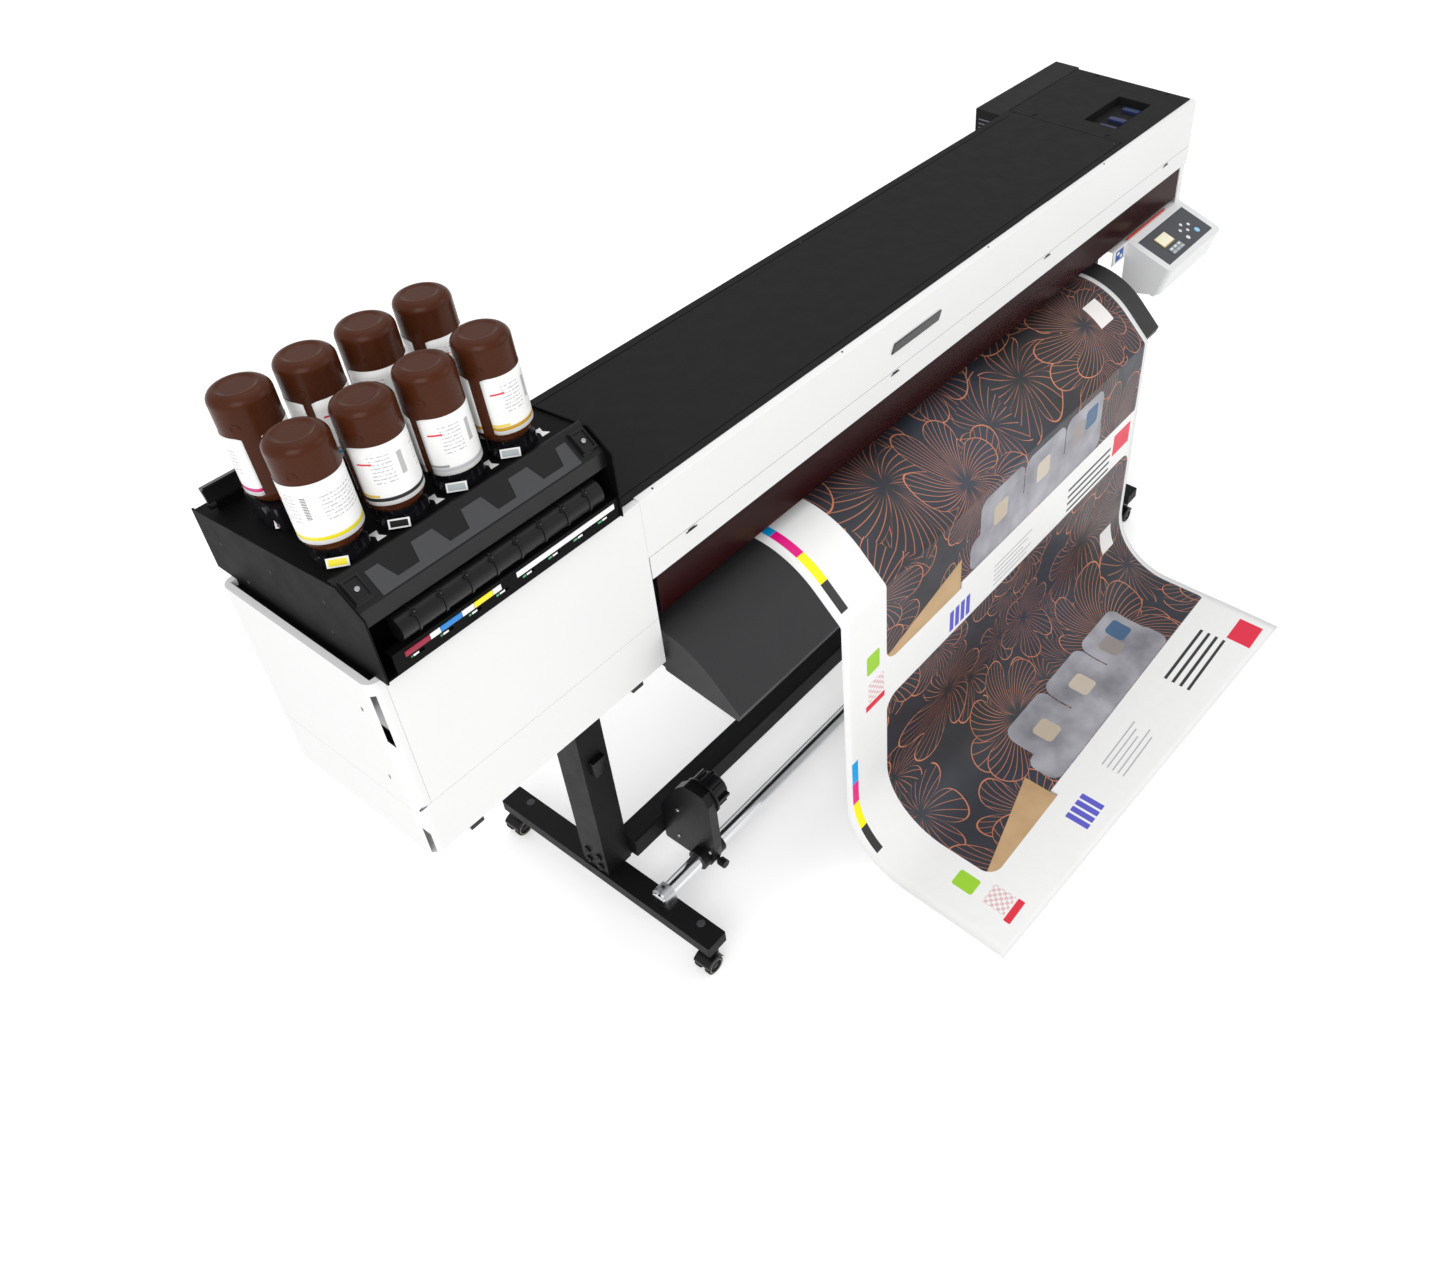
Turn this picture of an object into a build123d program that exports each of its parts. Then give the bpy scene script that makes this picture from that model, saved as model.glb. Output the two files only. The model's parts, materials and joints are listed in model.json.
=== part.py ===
from build123d import *
import math
import os

# Large-format roll printer on a stand, with an eight-bottle ink unit.
# Working axes: X from the left end, Y from the front faces (rear is +Y), Z from the floor, in mm.
# Everything is moved at export so that the origin is the centre of the base.

# ---- overall ----
width = 2775.0
body_depth = 384.0
casing_w = 560.0
right_section_w = 465.0
sheet_t = 3.0
gap = 0.5
run_clear = 0.06
touch_clear = 0.4

# ---- levels ----
caster_h = 78.0
foot_h = 32.0
leg_top = 843.0
chassis_h = 52.0
platen_h = 30.0
skirt_h = 120.5
window_lift = 42.0
door_lift = 139.0
door_strip_h = 54.0
front_cover_h = 134.0
lid_rise = 6.0
rim_rise = 16.0

chassis_top = leg_top + chassis_h
platen_top = chassis_top + platen_h
panel_seam = leg_top + skirt_h
window_bottom = platen_top + window_lift
door_bottom = platen_top + door_lift
cover_seam = door_bottom + door_strip_h
cover_top = cover_seam + front_cover_h
lid_top = cover_top + lid_rise
rim_top = cover_top + rim_rise

# ---- stations along X ----
end_gap = 6.0
apron_x0 = casing_w + end_gap
right_section_x0 = width - right_section_w
apron_x1 = right_section_x0 + 10.0
mid_x = (apron_x0 + right_section_x0) / 2
right_plate_w = 395.0
right_plate_x0 = width - right_plate_w
opening_x1 = width - 38.0

# ---- stand ----
foot_w = 57.0
foot_front = -144.0
foot_len = 689.0
leg_inset = 141.0
foot_x0 = apron_x0 - leg_inset
post_w = 70.0
post_depth = 82.0
chassis_depth = 146.0
post_front = 174.0
post_x0 = foot_x0 + 5.0
foot_wall = 3.0
cable_hole_r = 8.0
post_wall = 4.0
flange_t = 10.0
beam_size = 60.0
beam_front = post_front - 29.0
beam_lift = 20.0
end_plate_t = 6.0
end_plate_h = 76.0
bolt_r = 9.0
bolt_h = 5.0

# ---- casters ----
wheel_r = 23.0
wheel_w = 16.0
caster_web = 14.0
caster_trail = 14.0
caster_inset = 24.0
caster_stem_r = 5.5
caster_plate_r = 20.0
axle_r = 4.0

# ---- take-up unit ----
rail_r = 19.0
rail_wall = 2.5
rail_y = 20.0
rail_z = caster_h + foot_h + rail_r + 11.0
rail_overhang = 15.0
bracket_x = foot_x0 + 165.0
bracket_t = 24.0
bracket_wall = 4.0
hub_y = rail_y
hub_z = rail_z + 198.0
hub_r = 36.0
hub_rib_r = 45.0
hub_len = 48.0
hub_pin_r = 10.0
motor_w = 62.0

# ---- media ----
media_w = 1372.0
media_t = 0.6
media_x0 = apron_x0 + 308.0
media_front = -738.0
hang_y = -190.0
floor_bend_r = 185.0
floor_clear = 0.6

# ---- apron ----
apron_bend_r = 225.0
apron_nose_y = -184.0
apron_nose_z = leg_top - 46.0
apron_lip = 18.0
apron_start_y = 37.0
apron_back_y = 12.0
apron_back_z = leg_top - 39.0

# ---- inside ----
roller_r = 12.0
journal_r = 8.0
roller_y = post_front + 36.0
roller_z = platen_top - roller_r - 0.3
platen_front = apron_start_y + 3.0
platen_back = roller_y - roller_r - 2.0
guide_front = roller_y + roller_r + 2.0
guide_bend_y = post_front + chassis_depth + 10.0
guide_bend_r = 72.0
bearing_w = 20.0
rail_beam_y = body_depth - 84.0
rail_beam_t = 45.0
rail_beam_z = platen_top + 95.0
rail_beam_h = 90.0
slide_rail_w = 12.0
carriage_w = 300.0
carriage_front = 95.0
carriage_back = rail_beam_y - 3.0
carriage_head_back = 185.0
carriage_top = cover_top - 72.0
head_clear = 6.0
carriage_park_x = width - 90.0 - carriage_w
pinch_y = roller_y + 65.0
pinch_z = platen_top + 60.0
pinch_shaft_r = 6.0
pinch_roller_r = 7.0
pinch_roller_w = 30.0
pinch_count = 8

# ---- rear roll ----
media_roll_r = 65.0
core_r = 38.0
core_wall = 4.0
core_overhang = 12.0
roll_z = platen_top - 325.0
roll_y = guide_bend_y + guide_bend_r + media_t + touch_clear + media_roll_r
holder_t = 14.0
rear_rail_r = 15.0
rear_rail_y = post_front + post_depth - 20.0

# ---- rear box ----
box_w = 436.0
box_depth = 79.0
box_h = 330.0

# ---- ink unit ----
tray_x0 = 22.0
tray_back = body_depth + 38.0
tray_nose = -20.0
tray_back_z = cover_top + 140.0
tray_front_z = cover_top + 188.0
tray_deck_front = 30.0
deck_slope = (tray_back_z - tray_front_z) / (tray_back - tray_deck_front)
plate_t = 3.0
rim_w = 12.0
ledge_back_y = 50.0
fascia_y = -16.0
fascia_h = 42.0
tube_cover_r = 23.0
flap_len = 34.0
flap_open = 70.0
flap_w = 64.0
flap_knuckle_w = 10.0
bottle_r = 46.5
neck_r = 24.0
bottle_pitch = 2 * bottle_r + 14.0
bottle_x0 = tray_x0 + bottle_r + 16.5
bottles_per_row = 4
tray_w = bottles_per_row * bottle_pitch + 55.0
bottle_front_y = bottle_r + 61.5
bottle_row_y = (bottle_front_y, bottle_front_y + 2 * bottle_r + 69.0)
bottle_row_shift = (0.0, 18.0)
bottle_h = 188.0
collar_front_rise = 26.0
neck_len = 26.0
bottle_lean = 3.5
collar_r = bottle_r - 5.5
lobe_r = 9.0
lobe_count = 6
lobe_h = 16.0

# ---- control panel ----
panel_w = 325.0
panel_x0 = width - 335.0
panel_depth = 146.0
panel_slope = 18.7
panel_back_z = platen_top + 25.0
panel_drop = 84.0
face_w = 275.0
face_len = 112.0
face_t = 4.0
face_margin = 22.0
key_r = 5.5
enter_r = 9.0
key_travel = 0.8
key_proud = 1.0
key_clear = 0.35

foot_back = foot_front + foot_len
origin_x = width / 2
origin_y = (media_front + foot_back) / 2

os.makedirs("parts", exist_ok=True)
nodes = {}


def add(name, shape):
    """Record one node, moved so that the origin is the centre of the base."""
    solids = [Pos(-origin_x, -origin_y, 0) * solid for solid in shape.solids()]
    nodes[name] = solids[0] if len(solids) == 1 else Compound(solids)


def slab(x0, x1, y0, y1, z0, z1):
    """A block between two corners."""
    centre = Pos((x0 + x1) / 2, (y0 + y1) / 2, (z0 + z1) / 2)
    return centre * Box(abs(x1 - x0), abs(y1 - y0), abs(z1 - z0))


def prism_x(points, x0, x1):
    """A polygon of (Y, Z) points drawn out along X."""
    face = make_face(Polyline(*points, close=True))
    return extrude(Plane.YZ.offset(x0) * face, x1 - x0)


def rod_x(r, x0, x1, y, z):
    """A round bar along X."""
    return Pos((x0 + x1) / 2, y, z) * Rot(0, 90, 0) * Cylinder(r, x1 - x0)


def rod_y(r, x, y0, y1, z):
    """A round bar along Y."""
    return Pos(x, (y0 + y1) / 2, z) * Rot(90, 0, 0) * Cylinder(r, y1 - y0)


def rod_z(r, x, y, z0, z1):
    """A round bar along Z."""
    return Pos(x, y, (z0 + z1) / 2) * Cylinder(r, z1 - z0)


def mirror_stand(shape):
    """The opposite hand, across the middle of the stand."""
    return mirror(shape, Plane.YZ.offset(mid_x))


def spread(first, last, count):
    """Evenly spaced values from first to last."""
    return [first + (last - first) * i / (count - 1) for i in range(count)]


# ---------------------------------------------------------------- stand

def caster_spots(x_centre):
    """Swivel axes of the front and rear caster of one foot."""
    front = (x_centre, foot_front + caster_inset)
    rear = (x_centre, foot_back - caster_inset)
    return front, rear


def leg():
    """Foot tube with closed ends and a post tube with a top flange, welded."""
    z0 = caster_h
    z1 = caster_h + foot_h
    x1 = foot_x0 + foot_w
    foot = slab(foot_x0, x1, foot_front, foot_back, z0, z1)
    foot = fillet(foot.edges().filter_by(Axis.Z), 3)
    w = foot_wall
    foot -= slab(foot_x0 + w, x1 - w, foot_front + w, foot_back - w, z0 + w, z1 - w)
    foot -= rod_z(5, foot_x0 + foot_w / 2, post_front + post_depth + 60, z0 - 1, z0 + w + 1)
    for x, y in caster_spots(foot_x0 + foot_w / 2):
        foot -= rod_z(caster_stem_r + run_clear, x, y, z0 - 1, z0 + w + 1)
    post_x1 = post_x0 + post_w
    post_back = post_front + post_depth
    post = slab(post_x0, post_x1, post_front, post_back, z1, leg_top)
    p = post_wall
    inner = slab(post_x0 + p, post_x1 - p, post_front + p, post_back - p, z1 + p, leg_top - flange_t)
    post -= inner
    post -= rod_y(15, post_x0 + post_w / 2, post_back - 2 * p, post_back + 1, roll_z + 120)
    flange_back = post_front + chassis_depth
    flange = slab(post_x0 - 30, post_x1 + 30, post_front, flange_back, leg_top - flange_t, leg_top)
    return foot + post + flange


def cross_beam():
    """Square tube between the posts with a bolted plate at each end."""
    x0 = post_x0 + post_w
    x1 = 2 * mid_x - x0
    z0 = caster_h + foot_h + beam_lift
    y1 = beam_front + beam_size
    tube = slab(x0, x1, beam_front, y1, z0, z0 + beam_size)
    tube = fillet(tube.edges().filter_by(Axis.X), 5)
    t = end_plate_t
    tube -= slab(x0 + t, x1 - t, beam_front + 3, y1 - 3, z0 + 3, z0 + beam_size - 3)
    tube -= rod_z(cable_hole_r, x0 + 60, (beam_front + y1) / 2, z0 - 1, z0 + 4)
    plate_z0 = caster_h + foot_h + 2
    left = slab(x0, x0 + t, post_front + 2, post_front + post_depth - 4, plate_z0, plate_z0 + end_plate_h)
    right = mirror_stand(left)
    return tube + left + right


def stand_bolts():
    """Button-head bolts on the outer face of each post foot."""
    heads = []
    z0 = caster_h + foot_h
    for y in (post_front + 22, post_front + post_depth - 22):
        for z in (z0 + 22, z0 + end_plate_h - 18):
            head = rod_x(bolt_r, post_x0 - bolt_h, post_x0, y, z)
            head -= rod_x(bolt_r * 0.4, post_x0 - bolt_h - 1, post_x0 - bolt_h / 2, y, z)
            heads.append(head)
            heads.append(mirror_stand(head))
    return Compound(heads)


def caster_fork(x, y):
    """Swivel hood of a twin-wheel caster: stem, plate, web and mudguard."""
    top = caster_h - touch_clear
    axle_x = x - caster_trail
    stem = rod_z(caster_stem_r, x, y, top - 4, caster_h + 12)
    plate = rod_z(caster_plate_r, x, y, top - 4, top)
    half = caster_web / 2
    web = slab(axle_x - 6, x + 14, y - half, y + half, wheel_r - 8, top - 4)
    guard_w = wheel_w + half + touch_clear
    guard = rod_y(wheel_r + 5, axle_x, y - guard_w, y + guard_w, wheel_r)
    guard -= rod_y(wheel_r + 2, axle_x, y - guard_w - 1, y + guard_w + 1, wheel_r)
    guard &= slab(axle_x - wheel_r, axle_x + 60, y - 60, y + 60, wheel_r + 8, caster_h)
    body = stem + plate + web + guard
    return body - rod_y(axle_r + run_clear, axle_x, y - 60, y + 60, wheel_r)


def caster_wheels(x, y):
    """Two wheels on one axle."""
    axle_x = x - caster_trail
    inner = caster_web / 2 + touch_clear
    pair = rod_y(axle_r, axle_x, y - inner - 2, y + inner + 2, wheel_r)
    for side in (-1, 1):
        near = y + side * inner
        far = y + side * (inner + wheel_w)
        wheel = rod_y(wheel_r, axle_x, min(near, far), max(near, far), wheel_r)
        wheel = fillet(wheel.edges(), 2.5)
        dish = rod_y(wheel_r - 8, axle_x, min(far - side * 3, far + side), max(far - side * 3, far + side), wheel_r)
        pair += wheel - dish
    return pair


# ---------------------------------------------------------------- take-up unit

def take_up_rail():
    """Chrome tube across the two feet, with plugged ends."""
    x0 = foot_x0 + rail_overhang
    x1 = 2 * mid_x - x0
    tube = rod_x(rail_r, x0, x1, rail_y, rail_z)
    tube -= rod_x(rail_r - rail_wall, x0 + 10, x1 - 10, rail_y, rail_z)
    return tube - rod_x(3, x0 - 1, x1 + 1, rail_y, rail_z)


def rail_clamp():
    """Zinc saddle that holds one end of the rail on a foot."""
    x0 = foot_x0 + rail_overhang + 6
    x1 = x0 + 28
    z0 = caster_h + foot_h
    block = slab(x0, x1, rail_y - rail_r - 5, rail_y + rail_r + 5, z0, rail_z)
    block += rod_x(rail_r + 5, x0, x1, rail_y, rail_z)
    block += slab(x0 + 4, x1 - 4, rail_y - 8, rail_y + 8, rail_z, rail_z + rail_r + 8)
    return block - rod_x(rail_r + run_clear / 2, x0 - 1, x1 + 1, rail_y, rail_z)


def take_up_bracket():
    """Cast arm that rides on the rail and carries a roll hub."""
    x0 = bracket_x
    x1 = x0 + bracket_t
    back = beam_front - 1.0
    z0 = caster_h + foot_h + 4
    outline = [
        (back, z0),
        (back, rail_z + 95),
        (hub_y + 62, hub_z + 5),
        (hub_y + 30, hub_z + 38),
        (hub_y - 26, hub_z + 38),
        (hub_y - 42, hub_z + 10),
        (hub_y - 42, rail_z + 45),
        (rail_y - 34, rail_z),
        (rail_y - 22, rail_z - 24),
        (rail_y + 40, z0),
    ]
    arm = prism_x(outline, x0, x1)
    arm = fillet(arm.edges().filter_by(Axis.X), 5)
    pocket = slab(x0 + bracket_wall, x1 + 1, rail_y + 32, back - 6, z0 + 6, rail_z + 80)
    pocket += slab(x0 + bracket_wall, x1 + 1, hub_y - 32, hub_y + 44, rail_z + 46, hub_z - 34)
    arm -= pocket
    arm += rod_x(rail_r + 8, x0 - 20, x1 + 26, rail_y, rail_z)
    arm -= rod_x(rail_r + run_clear, x0 - 21, x1 + 27, rail_y, rail_z)
    pin = rod_x(hub_pin_r, x1 - 1, x1 + hub_len + 2 * touch_clear, hub_y, hub_z)
    cap = rod_x(hub_pin_r + 5, x1 + hub_len + 2 * touch_clear, x1 + hub_len + 5, hub_y, hub_z)
    knob = rod_z(5, x0 + bracket_t / 2, rail_y - rail_r - 18, rail_z - 12, rail_z + 12)
    knob += rod_y(11, x0 + bracket_t / 2, rail_y - rail_r - 42, rail_y - rail_r - 24, rail_z)
    knob += rod_y(4, x0 + bracket_t / 2, rail_y - rail_r - 26, rail_y - rail_r - 4, rail_z)
    return arm + pin + cap + knob


def take_up_hub():
    """Ribbed hub that a cardboard core is pushed over."""
    x0 = bracket_x + bracket_t + touch_clear
    x1 = x0 + hub_len
    hub = rod_x(hub_r, x0, x1, hub_y, hub_z)
    hub += rod_x(hub_rib_r + 4, x0, x0 + 5, hub_y, hub_z)
    for i in range(8):
        rib = slab(x0, x1 - 6, hub_y - 4, hub_y + 4, hub_z, hub_z + hub_rib_r)
        hub += rib.rotate(Axis((0, hub_y, hub_z), (1, 0, 0)), 45 * i)
    hub = chamfer(hub.faces().sort_by(Axis.X)[-1].edges().filter_by(GeomType.CIRCLE), 4)
    return hub - rod_x(hub_pin_r + run_clear, x0 - 1, x1 + 1, hub_y, hub_z)


def take_up_motor():
    """Drive housing on the outer side of the right bracket."""
    x1 = bracket_x + 1
    x0 = bracket_x - motor_w
    box = slab(x0, x1, hub_y - 40, hub_y + 70, hub_z - 90, hub_z + 40)
    return fillet(box.edges().filter_by(Axis.X), 8)


# ---------------------------------------------------------------- frame

def chassis_beam():
    """Main box beam carried by the legs."""
    x0 = 110.0
    x1 = width - 75.0
    y1 = post_front + chassis_depth
    beam = slab(x0, x1, post_front, y1, leg_top, chassis_top)
    return beam - slab(x0 - 1, x1 + 1, post_front + 4, y1 - 4, leg_top + 4, chassis_top - 4)


def carriage_beam():
    """Aluminium beam with the slide rail, its end uprights and pinch hangers."""
    x0 = 110.0
    x1 = width - 75.0
    y0 = rail_beam_y
    y1 = y0 + rail_beam_t
    z0 = rail_beam_z
    z1 = z0 + rail_beam_h
    beam = slab(x0, x1, y0, y1, z0, z1)
    beam -= slab(x0 - 1, x1 + 1, y0 + 4, y1 - 4, z0 + 4, z1 - 4)
    mid = (z0 + z1) / 2
    half = slide_rail_w / 2
    beam += slab(x0 + 10, x1 - 10, y0 - slide_rail_w, y0, mid - half, mid + half)
    for x in (x0, x1 - 8):
        beam += slab(x, x + 8, post_front + 20, y1, chassis_top, z0 + 12)
    for x in hanger_spots():
        hanger = slab(x, x + 6, pinch_y - 14, y1, pinch_z - 14, z0)
        beam += hanger - rod_x(pinch_shaft_r + run_clear, x - 1, x + 7, pinch_y, pinch_z)
    return beam


def hanger_spots():
    """X of the plates that hold the pinch shaft."""
    return (apron_x0 + 34, mid_x, apron_x1 - 30)


def platen():
    """Printing table, rear guide and the roller bearing blocks."""
    x0 = apron_x0 + 9
    x1 = apron_x1 + 30
    table = slab(x0, x1, platen_front, platen_back, chassis_top, platen_top)
    table -= slab(x0 + 6, x1 - 6, platen_front + 6, post_front - 6, chassis_top - 1, platen_top - 6)
    for y in (70.0, 100.0, 130.0):
        table -= slab(media_x0 + 20, media_x0 + media_w - 20, y, y + 3, platen_top - 2, platen_top + 1)
    z_bend = platen_top - guide_bend_r
    y_end = guide_bend_y + guide_bend_r
    with BuildPart() as guide:
        with BuildSketch(Plane.YZ.offset(x0)):
            with BuildLine():
                Line((guide_front, platen_top), (guide_bend_y, platen_top))
                CenterArc((guide_bend_y, z_bend), guide_bend_r, 0, 90)
                Line((y_end, z_bend), (y_end - 4, z_bend))
                CenterArc((guide_bend_y, z_bend), guide_bend_r - 4, 0, 90)
                Line((guide_bend_y, platen_top - 4), (guide_front + 4, platen_top - 4))
                Line((guide_front + 4, platen_top - 4), (guide_front + 4, chassis_top))
                Line((guide_front + 4, chassis_top), (guide_front, chassis_top))
                Line((guide_front, chassis_top), (guide_front, platen_top))
            make_face()
        extrude(amount=x1 - x0)
    table += guide.part
    for x in (x0, x1 - bearing_w):
        post = slab(x, x + bearing_w, platen_back - 2, guide_front + 2, chassis_top, platen_top - 1)
        table += post - rod_x(journal_r + run_clear, x - 1, x + bearing_w + 1, roller_y, roller_z)
    return table


def grit_roller():
    """Feed roller with a journal at each end."""
    x0 = apron_x0 + 9 + bearing_w + touch_clear
    x1 = apron_x1 + 30 - bearing_w - touch_clear
    roller = rod_x(roller_r, x0, x1, roller_y, roller_z)
    return roller + rod_x(journal_r, x0 - bearing_w - 12, x1 + bearing_w + 12, roller_y, roller_z)


def pinch_roller_spots():
    """X centres of the pinch rollers."""
    return spread(media_x0 + 60, media_x0 + media_w - 60, pinch_count)


def pinch_bar():
    """Shaft with arms and small rubber rollers that press the media."""
    spots = hanger_spots()
    bar = rod_x(pinch_shaft_r, spots[0] - 8, spots[2] + 14, pinch_y, pinch_z)
    tip_z = platen_top + media_t + touch_clear + pinch_roller_r
    solids = []
    for x in pinch_roller_spots():
        arm = prism_x(
            [
                (pinch_y - 9, pinch_z + 12),
                (pinch_y + 11, pinch_z + 8),
                (pinch_y + 11, pinch_z - 12),
                (roller_y + 8, tip_z - 3),
                (roller_y - 6, tip_z + 8),
            ],
            x - pinch_roller_w / 2 + 6,
            x + pinch_roller_w / 2 - 6,
        )
        arm -= rod_x(pinch_roller_r + 0.1, x - pinch_roller_w, x + pinch_roller_w, roller_y, tip_z)
        bar += arm
        solids.append(rod_x(pinch_roller_r, x - pinch_roller_w / 2, x + pinch_roller_w / 2, roller_y, tip_z))
    return Compound(bar.solids() + solids)


def print_carriage():
    """Print-head housing that runs on the slide rail, parked at the right."""
    x0 = carriage_park_x
    x1 = x0 + carriage_w
    z0 = platen_top + media_t + head_clear
    mid = rail_beam_z + rail_beam_h / 2
    half = slide_rail_w / 2 + run_clear
    heads = slab(x0 + 40, x1 - 40, carriage_front + 5, carriage_head_back, z0, rail_beam_z + 5)
    lamps = slab(x0, x0 + 36, carriage_front + 20, carriage_head_back - 10, z0 + 4, rail_beam_z + 5)
    lamps += slab(x1 - 36, x1, carriage_front + 20, carriage_head_back - 10, z0 + 4, rail_beam_z + 5)
    body = slab(x0, x1, carriage_front, carriage_back, rail_beam_z + 5, carriage_top)
    body = fillet(body.edges().filter_by(Axis.Z), 10)
    carriage = body + heads + lamps
    rail_front = rail_beam_y - slide_rail_w - run_clear
    return carriage - slab(x0 - 1, x1 + 1, rail_front, carriage_back + 1, mid - half, mid + half)


# ---------------------------------------------------------------- rear roll

def roll_holders():
    """Rail between the posts with two arms whose bosses enter the core."""
    x0 = post_x0 + post_w
    x1 = 2 * mid_x - x0
    rail = rod_x(rear_rail_r, x0, x1, rear_rail_y, roll_z)
    solids = [rail]
    face = media_x0 - core_overhang - touch_clear
    far = media_x0 + media_w + core_overhang + touch_clear
    for inner, outer, tip in ((face, face - holder_t, face + 30), (far, far + holder_t, far - 30)):
        lo = min(inner, outer)
        hi = max(inner, outer)
        arm = slab(lo, hi, rear_rail_y, roll_y, roll_z - 26, roll_z + 26)
        arm += rod_x(26, lo, hi, rear_rail_y, roll_z)
        arm += rod_x(50, lo, hi, roll_y, roll_z)
        arm += rod_x(core_r - core_wall - run_clear, min(lo, tip), max(hi, tip), roll_y, roll_z)
        arm -= rod_x(rear_rail_r + run_clear / 2, lo - 1, hi + 1, rear_rail_y, roll_z)
        solids.append(arm)
    return Compound(solids)


def media_roll():
    """Wound media on its core."""
    x0 = media_x0
    x1 = media_x0 + media_w
    roll = rod_x(media_roll_r, x0, x1, roll_y, roll_z)
    roll += rod_x(core_r, x0 - core_overhang, x1 + core_overhang, roll_y, roll_z)
    return roll - rod_x(core_r - core_wall, x0 - core_overhang - 1, x1 + core_overhang + 1, roll_y, roll_z)


# ---------------------------------------------------------------- apron and media

def apron_slope_end():
    """Where the round top of the apron turns into its 45 degree slope."""
    run = apron_bend_r * math.sin(math.radians(45))
    drop = apron_bend_r * (1 - math.cos(math.radians(45)))
    return apron_start_y - run, platen_top - drop


def apron_profile(inset):
    """Face of the apron's side outline, shrunk by a wall thickness."""
    r = apron_bend_r - inset
    y_c = apron_start_y
    z_c = platen_top - apron_bend_r
    turn = math.radians(45)
    y_s = y_c - r * math.sin(turn)
    z_s = z_c + r * math.cos(turn)
    slope_len = (apron_slope_end()[0] - apron_nose_y) * math.sqrt(2) - inset * 2
    y_n = y_s - slope_len * math.cos(turn)
    z_n = z_s - slope_len * math.sin(turn)
    z_low = apron_nose_z - apron_lip + inset
    with BuildSketch() as sk:
        with BuildLine():
            CenterArc((y_c, z_c), r, 90, 45)
            Line((y_s, z_s), (y_n, z_n))
            Line((y_n, z_n), (y_n + 6, z_low))
            Line((y_n + 6, z_low), (apron_back_y + inset, apron_back_z + inset))
            Line((apron_back_y + inset, apron_back_z + inset), (y_c, z_c + r))
        make_face()
    return sk.sketch


def front_apron():
    """Hollow curved apron with closed ends; the end plates reach the chassis."""
    outer = extrude(Plane.YZ.offset(apron_x0) * apron_profile(0), apron_x1 - apron_x0)
    inner_len = apron_x1 - apron_x0 - 2 * sheet_t
    inner = extrude(Plane.YZ.offset(apron_x0 + sheet_t) * apron_profile(sheet_t), inner_len)
    apron = outer - inner
    arm = [
        (apron_back_y - 20, apron_back_z + 4),
        (post_front, leg_top + 4),
        (post_front, chassis_top - 4),
        (apron_back_y - 20, chassis_top - 4),
    ]
    for x in (apron_x0, apron_x1 - sheet_t):
        apron += prism_x(arm, x, x + sheet_t)
    return apron


def media_sheet():
    """The printed web from the rear roll, over the apron, to the floor."""
    lift = media_t / 2
    top = platen_top + lift
    y_s, z_s = apron_slope_end()
    s = lift / math.sqrt(2)
    turn_r = 14.0
    floor_z = floor_clear + lift
    hang = hang_y
    bend_y = hang + turn_r
    z_nose = z_s + s - (y_s - s - (bend_y - turn_r * math.cos(math.radians(45))))
    with BuildLine(Plane.YZ) as path:
        Line((guide_bend_y + guide_bend_r + lift, roll_z), (guide_bend_y + guide_bend_r + lift, top - lift - guide_bend_r))
        CenterArc((guide_bend_y, platen_top - guide_bend_r), guide_bend_r + lift, 0, 90)
        Line((guide_bend_y, top), (apron_start_y, top))
        CenterArc((apron_start_y, platen_top - apron_bend_r), apron_bend_r + lift, 90, 45)
        Line((y_s - s, z_s + s), (bend_y - turn_r * math.cos(math.radians(45)), z_nose))
        turn_c = (hang + turn_r, z_nose - turn_r * math.sin(math.radians(45)))
        CenterArc(turn_c, turn_r, 135, 45)
        Line((hang, turn_c[1]), (hang, floor_z + floor_bend_r))
        CenterArc((hang - floor_bend_r, floor_z + floor_bend_r), floor_bend_r, 0, -90)
        Line((hang - floor_bend_r, floor_z), (media_front, floor_z))
    section = Pos(media_x0 + media_w / 2, guide_bend_y + guide_bend_r + lift, roll_z) * Rectangle(media_w, media_t)
    return sweep(section, path=path.line)


# ---------------------------------------------------------------- covers

def left_side_cover():
    """White end cover of the left casing with a raised rounded rim."""
    band = 28.0
    z0 = panel_seam + gap
    outer = Pos(casing_w / 2, body_depth / 2, (z0 + rim_top) / 2) * extrude(
        RectangleRounded(casing_w, body_depth, 20), (rim_top - z0) / 2, both=True)
    t = sheet_t
    inner = slab(t, casing_w + 1, t, body_depth - t, z0 - 1, cover_top - 10)
    inner += slab(rim_w, casing_w + 1, rim_w, body_depth - rim_w, cover_top - 11, rim_top + 1)
    shell = outer - inner
    shell &= slab(-1, band, -1, body_depth + 1, z0 - 1, rim_top + 1)
    return shell


def left_front_panel():
    """White front panel of the left casing with a folded top edge."""
    x0 = 28.0 + gap
    x1 = casing_w - gap
    t = sheet_t
    panel = slab(x0, x1, 0, t, panel_seam + gap, cover_top)
    panel += slab(x0, x1, 0, 14, cover_top - t, cover_top)
    panel += slab(x0, x1, t, 20, panel_seam + gap, panel_seam + gap + t)
    return panel


def left_skirt():
    """White lower skirt around the left casing."""
    t = sheet_t
    z1 = panel_seam
    plan = RectangleRounded(casing_w * 2, body_depth, 20)
    block = Pos(casing_w, body_depth / 2, leg_top) * extrude(plan, z1 - leg_top)
    block &= slab(-1, casing_w - gap, -1, body_depth + 1, leg_top - 1, z1 + 1)
    lip = 25.0
    block -= slab(t, casing_w + 1, t, body_depth - t, leg_top + t, z1 + 1)
    block -= slab(lip, casing_w + 1, lip, body_depth - lip, leg_top - 1, leg_top + t + 1)
    return block


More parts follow.
